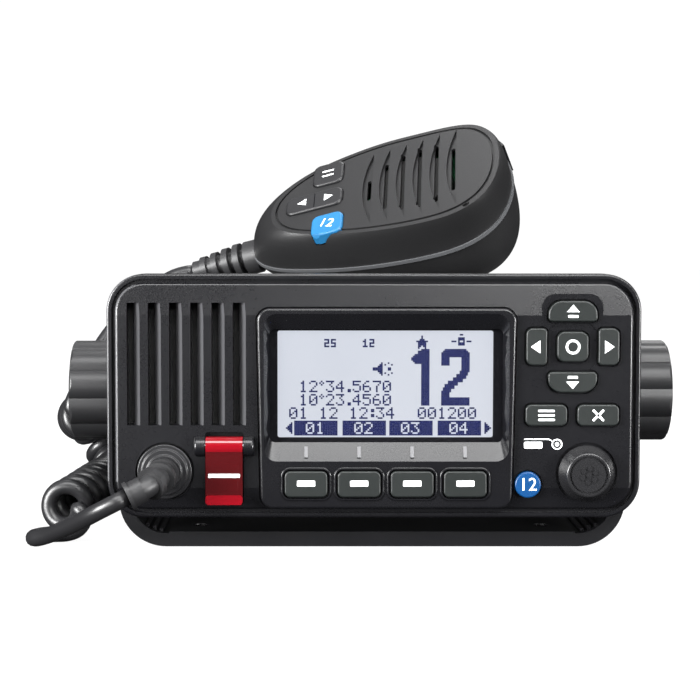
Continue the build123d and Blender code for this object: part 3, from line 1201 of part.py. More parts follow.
def main():
    save(front_panel(), "front_panel")
    save(display_frame(), "display_frame")
    save(display_lens(), "display_lens")
    save(lcd_panel(), "lcd_panel")
    save(keypad_mat(), "keypad_mat")
    save(front_board(), "front_board")
    save(panel_gasket(), "panel_gasket")
    save(speaker_net(), "speaker_net")
    save(speaker_frame(), "speaker_frame")
    save(speaker_cone(), "speaker_cone")
    for index, x in enumerate(soft_key_places()):
        save(soft_key(x), f"soft_key_{index + 1}")
    for name in PANEL_KEYS:
        save(panel_key(name), name)
    save(volume_knob(), "volume_knob")
    save(encoder_shaft(), "encoder_shaft")
    save(encoder(), "encoder")
    save(distress_cover(), "distress_cover")
    save(distress_hinge_pin(), "distress_hinge_pin")
    save(distress_key(), "distress_key")
    save(mic_gland(), "mic_gland")
    save(rear_chassis(), "rear_chassis")
    save(heat_sink(), "heat_sink")
    save(heat_sink_screws(), "heat_sink_screws")
    save(chassis_screws(), "chassis_screws")
    save(main_board(), "main_board")
    save(shield_can(), "shield_can")
    for name, values in REAR_SOCKETS.items():
        save(rear_socket(*values), name)
    save(mounting_bracket(), "mounting_bracket")
    for side, word in ((-1, "left"), (1, "right")):
        save(clamp_knob(side), f"clamp_knob_{word}")
        save(clamp_stud(side), f"clamp_stud_{word}")
        save(clamp_washer(side), f"clamp_washer_{word}")
    save(MIC * mic_front_shell(), "mic_front_shell")
    save(MIC * mic_rear_shell(), "mic_rear_shell")
    save(MIC * mic_seam(), "mic_seam")
    for name in MIC_KEYS:
        save(MIC * mic_key(name), name)
    save(MIC * ptt_lever(), "ptt_lever")
    save(MIC * mic_hanger(), "mic_hanger")
    save(MIC * mic_screws(), "mic_screws")
    save(MIC * mic_speaker(), "mic_speaker")
    save(MIC * mic_board(), "mic_board")
    save(MIC * mic_boot(), "mic_boot")
    save(cord_boot(), "cord_boot")
    save(cord_tube("front lead", LEAD_ROUTE, CORD_D), "cord_front_lead")
    save(cord_tube("coil", COIL_ROUTE, COIL_D), "cord_coil")
    save(cord_tube("microphone lead", MIC_ROUTE + [mic_lead_end()], CORD_D), "cord_mic_lead")


main()
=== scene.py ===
# %% [markdown]
# # A marine radio with its hand microphone
# The radio stands on a tilting bracket, and its microphone lies on top, at the end of a curly cord.
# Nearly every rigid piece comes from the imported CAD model, which is loaded here as a fixed frame.
# This script gives those pieces their finish, and makes what CAD leaves plain: the curled cord,
# the picture on the display and the printed marks on the keys.

# %% Load the frame
import json
import math

import bmesh
import bpy
from mathutils import Matrix, Vector


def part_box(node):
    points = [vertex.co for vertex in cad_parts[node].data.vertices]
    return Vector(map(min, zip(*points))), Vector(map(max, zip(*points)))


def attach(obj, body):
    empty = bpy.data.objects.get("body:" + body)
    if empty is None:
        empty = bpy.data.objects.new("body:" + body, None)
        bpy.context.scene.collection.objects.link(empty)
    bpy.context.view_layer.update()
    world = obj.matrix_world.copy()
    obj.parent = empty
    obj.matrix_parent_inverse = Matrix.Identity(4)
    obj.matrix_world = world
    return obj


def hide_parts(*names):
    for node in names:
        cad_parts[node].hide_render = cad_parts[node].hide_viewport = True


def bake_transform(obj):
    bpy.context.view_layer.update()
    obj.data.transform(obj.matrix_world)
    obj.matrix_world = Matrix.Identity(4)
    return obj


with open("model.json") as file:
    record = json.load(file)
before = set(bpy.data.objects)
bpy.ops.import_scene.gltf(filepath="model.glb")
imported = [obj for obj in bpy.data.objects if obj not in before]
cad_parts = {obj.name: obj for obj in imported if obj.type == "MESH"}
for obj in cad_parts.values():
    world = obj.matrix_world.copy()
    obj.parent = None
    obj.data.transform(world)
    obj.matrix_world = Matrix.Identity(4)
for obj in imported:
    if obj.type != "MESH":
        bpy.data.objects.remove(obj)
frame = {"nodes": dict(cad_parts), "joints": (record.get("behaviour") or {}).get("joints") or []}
nodes = frame["nodes"]
joints = {joint["name"]: joint for joint in frame["joints"]}
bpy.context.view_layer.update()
MM = 0.001

# %% [markdown]
# ## Camera
# The camera comes first, because the room that the cord may take is measured against its view.
# A long lens stands a little above the radio and looks slightly down on it, so the face stays
# nearly square to the picture while the tops of the pieces still show.

# %% Camera
IMAGE_PX = 700
FOCAL_PX = 1760
SENSOR_MM = 36
AXIS_PX = 317.42        # column of the picture that the camera's axis passes through
CAMERA_PLACE = (-0.019, -0.642, 0.1068)
LOOKS_DOWN = 3.597      # degrees

camera_data = bpy.data.cameras.new("camera")
camera_data.sensor_width = SENSOR_MM
camera_data.lens = FOCAL_PX * SENSOR_MM / IMAGE_PX
camera_data.shift_x = (IMAGE_PX / 2 - AXIS_PX) / IMAGE_PX
camera = bpy.data.objects.new("camera", camera_data)
camera.location = CAMERA_PLACE
camera.rotation_euler = (math.radians(90 - LOOKS_DOWN), 0, 0)
bpy.context.scene.collection.objects.link(camera)
bpy.context.scene.camera = camera
print("lens", round(camera_data.lens, 1), "mm")

# %% [markdown]
# ## Helpers for meshes
# A bmesh is a mesh that is being worked on. Each small helper below takes one, adds a shape with an
# operator, and leaves it open for the next step. `finish_piece` turns it into an object that rides
# on a body of the radio, with its place in the mesh and its object at the origin.

# %% Mesh helpers
CORNER_STEPS = 4        # edges in a round corner of an outline
RING_PARTS = 20         # plates in a ring


def finish_piece(name, bm, body, material):
    """Makes an object of a finished bmesh and lets it ride on a body."""
    bmesh.ops.remove_doubles(bm, verts=bm.verts, dist=1e-7)
    bmesh.ops.recalc_face_normals(bm, faces=bm.faces)
    mesh = bpy.data.meshes.new(name)
    bm.to_mesh(mesh)
    bm.free()
    mesh.materials.append(material)
    piece = bpy.data.objects.new(name, mesh)
    bpy.context.scene.collection.objects.link(piece)
    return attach(piece, body)


def add_outline(bm, points, place, depth):
    """A flat outline in millimetres, placed by a matrix and made solid along the matrix's -z."""
    verts = [bm.verts.new(place @ Vector((x * MM, y * MM, 0))) for x, y in points]
    face = bm.faces.new(verts)
    made = bmesh.ops.extrude_face_region(bm, geom=[face])
    back = [v for v in made["geom"] if isinstance(v, bmesh.types.BMVert)]
    shift = place.to_3x3() @ Vector((0, 0, -depth * MM))
    bmesh.ops.translate(bm, verts=back, vec=shift)


def rounded_box(width, height, radius):
    """Outline of a rectangle with round corners, in millimetres."""
    points = []
    for quarter, (sx, sy) in enumerate(((1, 1), (-1, 1), (-1, -1), (1, -1))):
        for step in range(CORNER_STEPS + 1):
            angle = math.radians(90 * (quarter + step / CORNER_STEPS))
            points.append((sx * (width / 2 - radius) + radius * math.cos(angle),
                           sy * (height / 2 - radius) + radius * math.sin(angle)))
    return points


def disc(radius, steps):
    """Outline of a disc, in millimetres."""
    return [(radius * math.cos(2 * math.pi * i / steps), radius * math.sin(2 * math.pi * i / steps))
            for i in range(steps)]


def ring_outlines(radius, width):
    """A ring as a row of small plates, each with four corners."""
    plates = []
    for index in range(RING_PARTS):
        a, b = 2 * math.pi * index / RING_PARTS, 2 * math.pi * (index + 1) / RING_PARTS
        plates.append([((radius + s * width / 2) * math.cos(t), (radius + s * width / 2) * math.sin(t))
                       for s, t in ((1, a), (1, b), (-1, b), (-1, a))])
    return plates


def moved(points, dx, dy, turn=0.0):
    """An outline turned by some degrees and then shifted."""
    c, s = math.cos(math.radians(turn)), math.sin(math.radians(turn))
    return [(dx + x * c - y * s, dy + x * s + y * c) for x, y in points]


def facing_front(x, y, z):
    """Axes of a mark on the radio's face: x to the right, y up and z towards the reader, in metres."""
    return Matrix.Translation((x, y, z)) @ Matrix.Rotation(math.radians(90), 4, "X")


# %% [markdown]
# ## Shared effects for the finishes
# Moulded plastic, rubber and painted metal all show the same two things at this scale: a fine grain
# from the mould or the paint, and a gloss that wanders a little from place to place. They are one
# shader group with named inputs, so that each finish only sets its own values.

# %% Helpers for node trees
def new_group(name, inputs, outputs):
    """A shader group with named sockets, and the nodes for its inputs and outputs."""
    group = bpy.data.node_groups.new(name, "ShaderNodeTree")
    for title, kind, value in inputs:
        socket = group.interface.new_socket(title, in_out="INPUT", socket_type=kind)
        socket.default_value = value
    for title, kind in outputs:
        group.interface.new_socket(title, in_out="OUTPUT", socket_type=kind)
    return group, group.nodes.new("NodeGroupInput"), group.nodes.new("NodeGroupOutput")


def add_noise(tree, coordinates, detail):
    """A noise texture that is fed by some coordinates."""
    noise = tree.nodes.new("ShaderNodeTexNoise")
    noise.inputs["Detail"].default_value = detail
    tree.links.new(coordinates, noise.inputs["Vector"])
    return noise


def add_range(tree, value, low, high):
    """Maps a value from 0..1 to low..high."""
    node = tree.nodes.new("ShaderNodeMapRange")
    tree.links.new(value, node.inputs["Value"])
    node.inputs["To Min"].default_value = low
    node.inputs["To Max"].default_value = high
    return node.outputs["Result"]


def add_math(tree, operation, a, b):
    """Puts two values together, each a number or a socket, by an operation such as ADD."""
    node = tree.nodes.new("ShaderNodeMath")
    node.operation = operation
    for socket, value in zip(node.inputs, (a, b)):
        if isinstance(value, (int, float)):
            socket.default_value = value
        else:
            tree.links.new(value, socket)
    return node.outputs[0]


# %% Surface grain
BROAD_SCALE = 45        # noise cells per metre for the slow changes of tone and gloss
BUMP_HEIGHT = 0.0001    # depth of the grain in metres, at full strength


def make_grain_group():
    """Two noises, fine and broad, change the colour, the roughness and the bump of a finish."""
    group, given, made = new_group(
        "surface_grain",
        [("Color", "NodeSocketColor", (0.1, 0.1, 0.1, 1)), ("Tone Spread", "NodeSocketFloat", 0.1),
         ("Grain Size", "NodeSocketFloat", 2500.0), ("Grain Depth", "NodeSocketFloat", 0.2),
         ("Roughness", "NodeSocketFloat", 0.5), ("Roughness Spread", "NodeSocketFloat", 0.08)],
        [("Color", "NodeSocketColor"), ("Roughness", "NodeSocketFloat"), ("Normal", "NodeSocketVector")])
    links = group.links
    place = group.nodes.new("ShaderNodeTexCoord").outputs["Object"]
    fine = add_noise(group, place, 2)
    links.new(given.outputs["Grain Size"], fine.inputs["Scale"])
    broad = add_noise(group, place, 3)
    broad.inputs["Scale"].default_value = BROAD_SCALE
    tone = add_math(group, "MULTIPLY", add_math(group, "SUBTRACT", broad.outputs["Fac"], 0.5),
                    given.outputs["Tone Spread"])
    tone = add_math(group, "ADD", tone, add_math(group, "MULTIPLY", tone, fine.outputs["Fac"]))
    shade = group.nodes.new("ShaderNodeHueSaturation")
    links.new(given.outputs["Color"], shade.inputs["Color"])
    links.new(add_math(group, "ADD", tone, 1.0), shade.inputs["Value"])
    wander = add_math(group, "MULTIPLY", add_math(group, "SUBTRACT", broad.outputs["Fac"], 0.5),
                      given.outputs["Roughness Spread"])
    speck = add_math(group, "MULTIPLY", add_math(group, "SUBTRACT", fine.outputs["Fac"], 0.5),
                     given.outputs["Roughness Spread"])
    rough = add_math(group, "ADD", given.outputs["Roughness"], add_math(group, "ADD", wander, speck))
    bump = group.nodes.new("ShaderNodeBump")
    bump.inputs["Distance"].default_value = BUMP_HEIGHT
    links.new(given.outputs["Grain Depth"], bump.inputs["Strength"])
    links.new(fine.outputs["Fac"], bump.inputs["Height"])
    links.new(shade.outputs["Color"], made.inputs["Color"])
    links.new(rough, made.inputs["Roughness"])
    links.new(bump.outputs["Normal"], made.inputs["Normal"])
    return group


surface_grain = make_grain_group()
print("groups:", [group.name for group in bpy.data.node_groups])

# %% [markdown]
# ## Finishes
# Each finish is a Principled shader fed by the grain group. Values that are the same all over, such
# as the coat or the index of refraction, are set on the shader itself. The radio is black plastic with
# a fine grain, its keys are greenish black rubber, and most of what shows of both is their gloss. The
# sloped sides of the louvres that look to the left are a paler grey, a painted highlight for the light
# that falls on them from the left, so that the slots read from the front.

# %% Finish helper and the plastics
GLOSS_SPREAD = 0.1      # how far the roughness wanders


def finish(name, color, roughness, grain_size=2500, grain_depth=0.2, tone=0.12, **sockets):
    """A material with the grain; sockets are further values of the shader, such as Alpha."""
    material = bpy.data.materials.new(name)
    material.use_nodes = True
    tree = material.node_tree
    shader = tree.nodes["Principled BSDF"]
    grain = tree.nodes.new("ShaderNodeGroup")
    grain.node_tree = surface_grain
    values = {"Color": (*color, 1), "Tone Spread": tone, "Grain Size": grain_size,
              "Grain Depth": grain_depth, "Roughness": roughness, "Roughness Spread": GLOSS_SPREAD}
    for title, value in values.items():
        grain.inputs[title].default_value = value
    tree.links.new(grain.outputs["Color"], shader.inputs["Base Color"])
    tree.links.new(grain.outputs["Roughness"], shader.inputs["Roughness"])
    tree.links.new(grain.outputs["Normal"], shader.inputs["Normal"])
    for title, value in sockets.items():
        shader.inputs[title.replace("_", " ")].default_value = value
    return material


housing = finish("housing_plastic", (0.004, 0.004, 0.005), 0.29, 1800, 0.12)
mic_housing = finish("microphone_plastic", (0.011, 0.011, 0.0115), 0.38, 1800, 0.25)
# paler grey for the louvre sides that look to the left: a painted highlight for the light from the left
louvre_side = finish("louvre_side", (0.060, 0.060, 0.064), 0.32, 1800, 0.12)
surround = finish("display_surround", (0.004, 0.004, 0.005), 0.26, 2600, 0.10)
tick_grey = finish("tick_grey", (0.10, 0.10, 0.105), 0.45, 1800, 0.05)
trim = finish("dark_trim", (0.010, 0.010, 0.011), 0.32, 2600, 0.15)
key_rubber = finish("key_rubber", (0.0065, 0.0085, 0.008), 0.42, 3000, 0.12)
mic_rubber = finish("microphone_keys", (0.010, 0.010, 0.011), 0.42, 3000, 0.15)
blue_rubber = finish("blue_rubber", (0.0002, 0.038, 0.13), 0.36, 3000, 0.1)
sky_rubber = finish("sky_rubber", (0.010, 0.11, 0.25), 0.38, 3000, 0.1)
red_rubber = finish("red_rubber", (0.20, 0.006, 0.008), 0.45, 3000, 0.12)
knob_plastic = finish("knob_plastic", (0.012, 0.012, 0.013), 0.28, 2200, 0.15)
clamp_plastic = finish("clamp_plastic", (0.012, 0.012, 0.013), 0.42, 2200, 0.2)
bracket_plastic = finish("bracket_plastic", (0.005, 0.005, 0.006), 0.34, 1500, 0.2)
chassis_paint = finish("chassis_paint", (0.016, 0.016, 0.017), 0.5, 1300, 0.5)
cord_rubber = finish("cord_rubber", (0.012, 0.012, 0.013), 0.34, 2500, 0.08)
boot_rubber = finish("boot_rubber", (0.016, 0.016, 0.017), 0.42, 2500, 0.2)
washer_rubber = finish("washer_rubber", (0.01, 0.01, 0.01), 0.7, 2500, 0.3)
seam_rubber = finish("seam_strip", (0.070, 0.072, 0.076), 0.42, 2500, 0.15)
steel = finish("steel", (0.55, 0.55, 0.57), 0.32, 900, 0.1, Metallic=1.0)
speaker_can = finish("speaker_can", (0.004, 0.004, 0.004), 0.8, 900, 0.1)
plated_brass = finish("plated_brass", (0.62, 0.52, 0.30), 0.28, 900, 0.1, Metallic=1.0)
board_green = finish("board_green", (0.01, 0.09, 0.035), 0.4, 800, 0.2)
net_cloth = finish("speaker_cloth", (0.004, 0.004, 0.004), 0.9, 1500, 0.8)
print_white = finish("printed_white", (0.80, 0.82, 0.82), 0.5, 2500, 0.05)
lcd_ink = finish("display_ink", (0.003, 0.005, 0.034), 0.6, 2500, 0.0, Specular_IOR_Level=0.1)
# black of the display mask; on the deep walls round the display the same matte black is painted shade
black_mask_and_painted_shade = finish("display_mask", (0.003, 0.003, 0.004), 0.6, 2500, 0.0, Specular_IOR_Level=0.05)
print("finishes:", len(bpy.data.materials))

# %% [markdown]
# ## See-through and lit finishes
# The lens over the display is clear, so its shader is mostly transparent and keeps only a gloss.
# The display itself is lit from behind: it gives off a pale, slightly blue light that is a little
# uneven, as edge-lit panels are. The distress cover is clear red plastic. Its thin flap is a darker
# red, painted shade for the little light that comes back from behind it, while its barrel and lip are
# a bright red, painted light for the light that they gather.

# %% Lens, display and red cover
CLOUD_SCALE = 18        # noise cells per metre in the light of the display
GLOW = 0.93             # strength of that light


def clear_lens():
    """Almost nothing but a gloss."""
    material = finish("clear_lens", (0.02, 0.02, 0.025), 0.06, 400, 0.0, Alpha=0.012)
    material.surface_render_method = "BLENDED"
    return material


def display_glow():
    """A dark surface that gives off a slightly cloudy light."""
    material = finish("display_glow", (0.02, 0.02, 0.02), 0.5, 600, 0.0, tone=0.06)
    tree = material.node_tree
    shader = tree.nodes["Principled BSDF"]
    place = tree.nodes.new("ShaderNodeTexCoord")
    cloud = add_noise(tree, place.outputs["Object"], 1)
    cloud.inputs["Scale"].default_value = CLOUD_SCALE
    ramp = tree.nodes.new("ShaderNodeValToRGB")
    ramp.color_ramp.elements[0].color = (0.56, 0.60, 0.69, 1)
    ramp.color_ramp.elements[1].color = (0.68, 0.71, 0.79, 1)
    tree.links.new(cloud.outputs["Fac"], ramp.inputs["Fac"])
    tree.links.new(ramp.outputs["Color"], shader.inputs["Emission Color"])
    shader.inputs["Emission Strength"].default_value = GLOW
    return material


lens_clear = clear_lens()
lcd_glow = display_glow()
# the flap's darker red is partly painted shade, for the little light that comes back from behind it
red_cover = finish("red_clear", (0.050, 0.003, 0.004), 0.16, 900, 0.02, IOR=1.49, Alpha=0.8,
                   Coat_Weight=0.4, Coat_Roughness=0.08)
# a brighter copy of the cover's red: painted light on its barrel and its lip
red_thick = finish("red_thick", (0.17, 0.002, 0.006), 0.14, 900, 0.02,
                   Coat_Weight=0.5, Coat_Roughness=0.06)

# %% [markdown]
# ## Put the finishes on the CAD pieces
# A CAD piece keeps its mesh and only gets a material in its slot. The table below says which finish
# each one wears; the pieces that are hidden inside get one too, because the radio may be opened.

# %% Dress the CAD pieces
FINISH_OF = {
    housing: ["front_panel"],
    mic_housing: ["mic_front_shell", "mic_rear_shell"],
    surround: ["display_frame"],
    trim: ["mic_gland", "mic_hanger", "speaker_frame", "ptt_lever"],
    lens_clear: ["display_lens"],
    lcd_glow: ["lcd_panel"],
    key_rubber: ["key_up", "key_down", "key_left", "key_right", "key_enter", "key_menu", "key_clear",
                 "soft_key_1", "soft_key_2", "soft_key_3", "soft_key_4", "keypad_mat"],
    mic_rubber: ["mic_key_upper", "mic_rocker"],
    blue_rubber: ["key_channel"],
    sky_rubber: ["mic_key_channel"],
    red_cover: ["distress_cover"],
    red_rubber: ["distress_key"],
    board_green: ["front_board", "main_board", "mic_board"],
    steel: ["distress_hinge_pin", "encoder_shaft", "encoder", "chassis_screws", "heat_sink_screws",
            "mic_screws", "shield_can", "clamp_stud_left", "clamp_stud_right"],
    speaker_can: ["mic_speaker"],
    net_cloth: ["speaker_net", "speaker_cone"],
    knob_plastic: ["volume_knob"],
    clamp_plastic: ["clamp_knob_left", "clamp_knob_right"],
    chassis_paint: ["rear_chassis", "heat_sink"],
    plated_brass: ["antenna_socket", "power_socket", "data_socket"],
    bracket_plastic: ["mounting_bracket"],
    washer_rubber: ["clamp_washer_left", "clamp_washer_right", "panel_gasket"],
    seam_rubber: ["mic_seam"],
    boot_rubber: ["mic_boot", "cord_boot"],
    cord_rubber: ["cord_front_lead", "cord_coil", "cord_mic_lead"],
}
for material, names in FINISH_OF.items():
    for name in names:
        mesh = nodes[name].data
        mesh.materials.clear()
        mesh.materials.append(material)
bare = set(nodes) - {name for names in FINISH_OF.values() for name in names}
print("pieces without a finish:", sorted(bare))

# %% [markdown]
# ## Second finishes on three pieces
# Some pieces wear two finishes. The faces for the second one are chosen by where they lie and which way
# they look: the barrel and the lip of the distress cover, which get a brighter red as painted light, the
# deep inner walls round the display, which get a matte black as painted shade, and the sides of the
# louvres that look to the left, which get a paler grey as a painted highlight. The mesh itself stays as
# it is.

# %% Paint chosen faces
BARREL_H = 6.0          # millimetres of the cover's height that its barrel takes
LIP_DEPTH = 0.9         # millimetres behind the cover's foremost point; the flap lies deeper
SLOPE_DEPTH = 2.2       # millimetres from the front of the display frame to its deep inner walls
RUNS_BACK = 0.5         # a wall that runs back has less of its normal than this to the front
ASLANT = 0.25           # a slanted side has more of its normal than this to the left and the front
LOUVRES_LEFT, LOUVRES_RIGHT, LOUVRES_BOTTOM = -0.095, -0.035, 0.043     # metres


def paint(name, material, chosen):
    """A second finish on the faces for which chosen(centre, normal) is true."""
    mesh = nodes[name].data
    mesh.materials.append(material)
    faces = [face for face in mesh.polygons if chosen(face.center, face.normal)]
    for face in faces:
        face.material_index = len(mesh.materials) - 1
    print(name, "has", len(faces), "faces in", material.name)


# picks the barrel and the lip, which get the brighter red as painted light
def on_barrel_or_lip(centre, normal):
    return centre.z > cover_high[2] - BARREL_H * MM or centre.y < cover_low[1] + LIP_DEPTH * MM


# picks the deep inner walls round the display, which get matte black as painted shade in the recess
def on_deep_wall(centre, normal):
    return centre.y > frame_low[1] + SLOPE_DEPTH * MM and abs(normal.y) < RUNS_BACK


# picks the louvre sides that look to the left and the front, which get the painted highlight
def on_louvre_side(centre, normal):
    among_louvres = LOUVRES_LEFT < centre.x < LOUVRES_RIGHT and centre.z > LOUVRES_BOTTOM
    return among_louvres and normal.x < -ASLANT and normal.y < -ASLANT


cover_low, cover_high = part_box("distress_cover")
frame_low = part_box("display_frame")[0]
paint("distress_cover", red_thick, on_barrel_or_lip)
paint("display_frame", black_mask_and_painted_shade, on_deep_wall)
paint("front_panel", louvre_side, on_louvre_side)

# %% [markdown]
# ## The picture on the display
# A dot-matrix display shows its picture in small square dots with a thin light line between them. The
# picture could be a texture, but here each dark dot is a square of its own, made by one grid operator,
# so the dots stay sharp at any distance. Digits are written with a dot font of five by seven: each has
# one hexadecimal number per row, whose binary digits are the dots of that row. Small symbols are
# written in the same way.

# %% Dot font and drawing helpers
# the asterisk stands for a degree sign
DOT_FONT = {
    "0": "0E 11 13 15 19 11 0E", "1": "04 0C 04 04 04 04 0E", "2": "0E 11 01 02 04 08 1F",
    "3": "1F 02 04 02 01 11 0E", "4": "02 06 0A 12 1F 02 02", "5": "1F 10 1E 01 01 11 0E",
    "6": "06 08 10 1E 11 11 0E", "7": "1F 01 02 04 04 04 04", "8": "0E 11 11 0E 11 11 0E",
    "9": "0E 11 11 0F 01 02 0C", ".": "0 0 0 0 0 C C", ":": "0 C C 0 C C 0", "*": "8 14 8 0 0 0 0",
    " ": "0 0 0 0 0 0 0",
}
DIGIT_COLUMNS = 5
DIGIT_STEP, NARROW_STEP = 6, 4      # columns from one sign to the next
STAR = "08 08 1C 7F 3E 3E 36 22"
HORN = "04 0D 1C FC FC 1C 0D 04"
WAVE = "4 1 0 6 6 0 1 4"
SMALL_1 = "2 6 2 2 7"
SMALL_2 = "7 1 7 4 7"
SMALL_5 = "7 4 7 1 7"


def dots_in(rows, width):
    """The dark dots of a symbol, as column and row from its upper left corner."""
    numbers = [int(text, 16) for text in rows.split()]
    return {(width - 1 - bit, row) for row, number in enumerate(numbers)
            for bit in range(width) if number >> bit & 1}


def shifted(dots, column, row):
    """The same dots, some columns further right and some rows further down."""
    return {(column + c, row + r) for c, r in dots}


def number_line(text, column, row):
    """A line of digits; a point, a colon and a degree sign are narrower than a digit."""
    dots = set()
    for sign in text:
        dots |= shifted(dots_in(DOT_FONT[sign], DIGIT_COLUMNS), column, row)
        column += NARROW_STEP if sign in ".:*" else DIGIT_STEP
    return dots


def bar(column, row, width, height):
    """A block of dots, from its upper left corner."""
    return {(column + c, row + r) for c in range(width) for r in range(height)}


# %% [markdown]
# ## The picture, dot by dot
# The picture is a set of dots, each a column and a row counted from the upper left corner. A set can be
# joined with another and can have one taken out, which is how the four dark labels get their light
# digits. From the top, the lines lay down the large channel number, which is drawn from bars five dots
# thick, the small signs, two lines of position, the date and time, and the labels over the soft keys
# with an arrow at either end.

# %% Dots of the picture
LABEL_COLUMNS, LABEL_ROW = (9, 38, 66, 95), 54      # upper left corners of the labels
LABEL_WIDE, LABEL_HIGH = 26, 9
LEFT_TIP, RIGHT_TIP, TIP_ROW = 4, 126, 58           # tips of the two arrows
ARROW_WIDE = 4
BIG_1 = bar(6, 0, 5, 34) | bar(4, 1, 2, 8) | bar(2, 3, 2, 6) | bar(1, 4, 1, 4) | bar(0, 5, 1, 2)
BIG_2 = (bar(2, 0, 13, 5) | bar(1, 1, 15, 4) | bar(0, 2, 5, 8) | bar(12, 2, 5, 12) | bar(11, 13, 5, 3)
         | bar(9, 15, 6, 3) | bar(7, 17, 6, 3) | bar(4, 19, 6, 3) | bar(2, 21, 6, 3) | bar(1, 23, 5, 3)
         | bar(0, 25, 5, 5) | bar(0, 29, 17, 5))
picture = shifted(BIG_1, 79, 11) | shifted(BIG_2, 97, 11)
picture |= shifted(dots_in(SMALL_2, 3), 27, 5) | shifted(dots_in(SMALL_5, 3), 31, 5)
picture |= shifted(dots_in(SMALL_1, 3), 50, 5) | shifted(dots_in(SMALL_2, 3), 54, 5)
picture |= shifted(dots_in(STAR, 7), 82, 3) | shifted(dots_in(HORN, 8), 56, 19)
picture |= shifted(dots_in(WAVE, 3), 65, 19)
picture |= bar(107, 4, 4, 5) - bar(108, 6, 2, 1)
picture |= bar(103, 6, 3, 1) | bar(112, 6, 3, 1) | bar(108, 2, 2, 1)
picture |= number_line("12*34.5670", 12, 30) | number_line("10*23.4560", 12, 38)
picture |= number_line("01 12 12:34", 6, 46) | number_line("001200", 83, 46)
for index, first in enumerate(LABEL_COLUMNS):
    label = bar(first, LABEL_ROW, LABEL_WIDE, LABEL_HIGH)
    picture |= label - number_line(f"0{index + 1}", first + 7, LABEL_ROW + 1)
for step in range(ARROW_WIDE):
    picture |= bar(LEFT_TIP + step, TIP_ROW - step, 1, 1 + 2 * step)
    picture |= bar(RIGHT_TIP - step, TIP_ROW - step, 1, 1 + 2 * step)
print("dark dots:", len(picture))

# %% [markdown]
# ## The dots behind the lens and the mask round them
# The dots lie on a plane just behind the lens. A black mask round the picture is nearer to the lens and
# hides the edge of the lit panel. It is a flat ring: its inner and outer outlines are bridged, and
# solidify gives it a thickness. Sizes are in millimetres.

# %% Display picture and its black mask
COLUMNS, ROWS = 128, 64
DOT_PITCH = 0.564
HALF_DOT = 0.279
PICTURE_DEPTH, MASK_DEPTH = 0.12, 0.05      # behind the back of the lens
PICTURE_RISE = 0.5      # middle of the picture over that of the lens
LEFT_MARGIN = 0.5       # lit strip between the mask and the first column
MASK_SIDES, MASK_ENDS = 7.4, 3.6            # by which the mask is wider and taller than the picture
OPENING_CORNER, MASK_CORNER = 0.7, 1.5
MASK_THICK = 0.04
PICTURE_W, PICTURE_H = COLUMNS * DOT_PITCH, ROWS * DOT_PITCH
lens_low, lens_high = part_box("display_lens")
glass_x = (lens_low[0] + lens_high[0]) / 2
glass_z = (lens_low[2] + lens_high[2]) / 2
behind_lens = lens_high[1]


def display_place(x, z, depth):
    """A place behind the lens, in millimetres from the middle of the picture."""
    return facing_front(glass_x + x * MM, behind_lens + depth * MM, glass_z + (z + PICTURE_RISE) * MM)


bm = bmesh.new()
for column, row in picture:
    place = display_place((column + 0.5) * DOT_PITCH - PICTURE_W / 2,
                          PICTURE_H / 2 - (row + 0.5) * DOT_PITCH, PICTURE_DEPTH)
    bmesh.ops.create_grid(bm, x_segments=1, y_segments=1, size=HALF_DOT * MM, matrix=place)
finish_piece("display_picture", bm, "transceiver", lcd_ink)

bm = bmesh.new()
inner = moved(rounded_box(PICTURE_W + LEFT_MARGIN, PICTURE_H, OPENING_CORNER), -LEFT_MARGIN / 2, 0)
outer = rounded_box(PICTURE_W + MASK_SIDES, PICTURE_H + MASK_ENDS, MASK_CORNER)
mask_place = display_place(0, 0, MASK_DEPTH)
for edge in (inner, outer):
    corners = [bm.verts.new(mask_place @ Vector((x * MM, y * MM, 0))) for x, y in edge]
    for a, b in zip(corners, corners[1:] + corners[:1]):
        bm.edges.new((a, b))
bmesh.ops.bridge_loops(bm, edges=bm.edges[:])
bmesh.ops.solidify(bm, geom=bm.faces[:], thickness=MASK_THICK * MM)
finish_piece("display_mask", bm, "transceiver", black_mask_and_painted_shade)
print("picture:", round(PICTURE_W, 1), "by", round(PICTURE_H, 1), "mm")

# %% [markdown]
# ## Printed marks
# The signs on the keys are white ink, a few hundredths of a millimetre thick. Each is a flat outline
# that is given that thickness and lies just on its key, and it rides on the key, so it goes in when
# the key is pressed. Arrows, bars and rings say what the keys do. Sizes are in millimetres.

# %% Marks on the front keys
INK = 0.05              # its thickness
LIFT = 0.06             # front of the ink over the key


def key_place(name, x=0.0, y=0.0):
    """Axes on the middle of a key's front, moved by x and y millimetres."""
    low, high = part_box(name)
    return facing_front((low[0] + high[0]) / 2 + x * MM, low[1] - LIFT * MM,
                        (low[2] + high[2]) / 2 + y * MM)


def mark(name, outlines, place, body, material=print_white):
    """Printed outlines that ride on a body."""
    bm = bmesh.new()
    for points in outlines:
        add_outline(bm, points, place, INK)
    return finish_piece(name, bm, body, material)


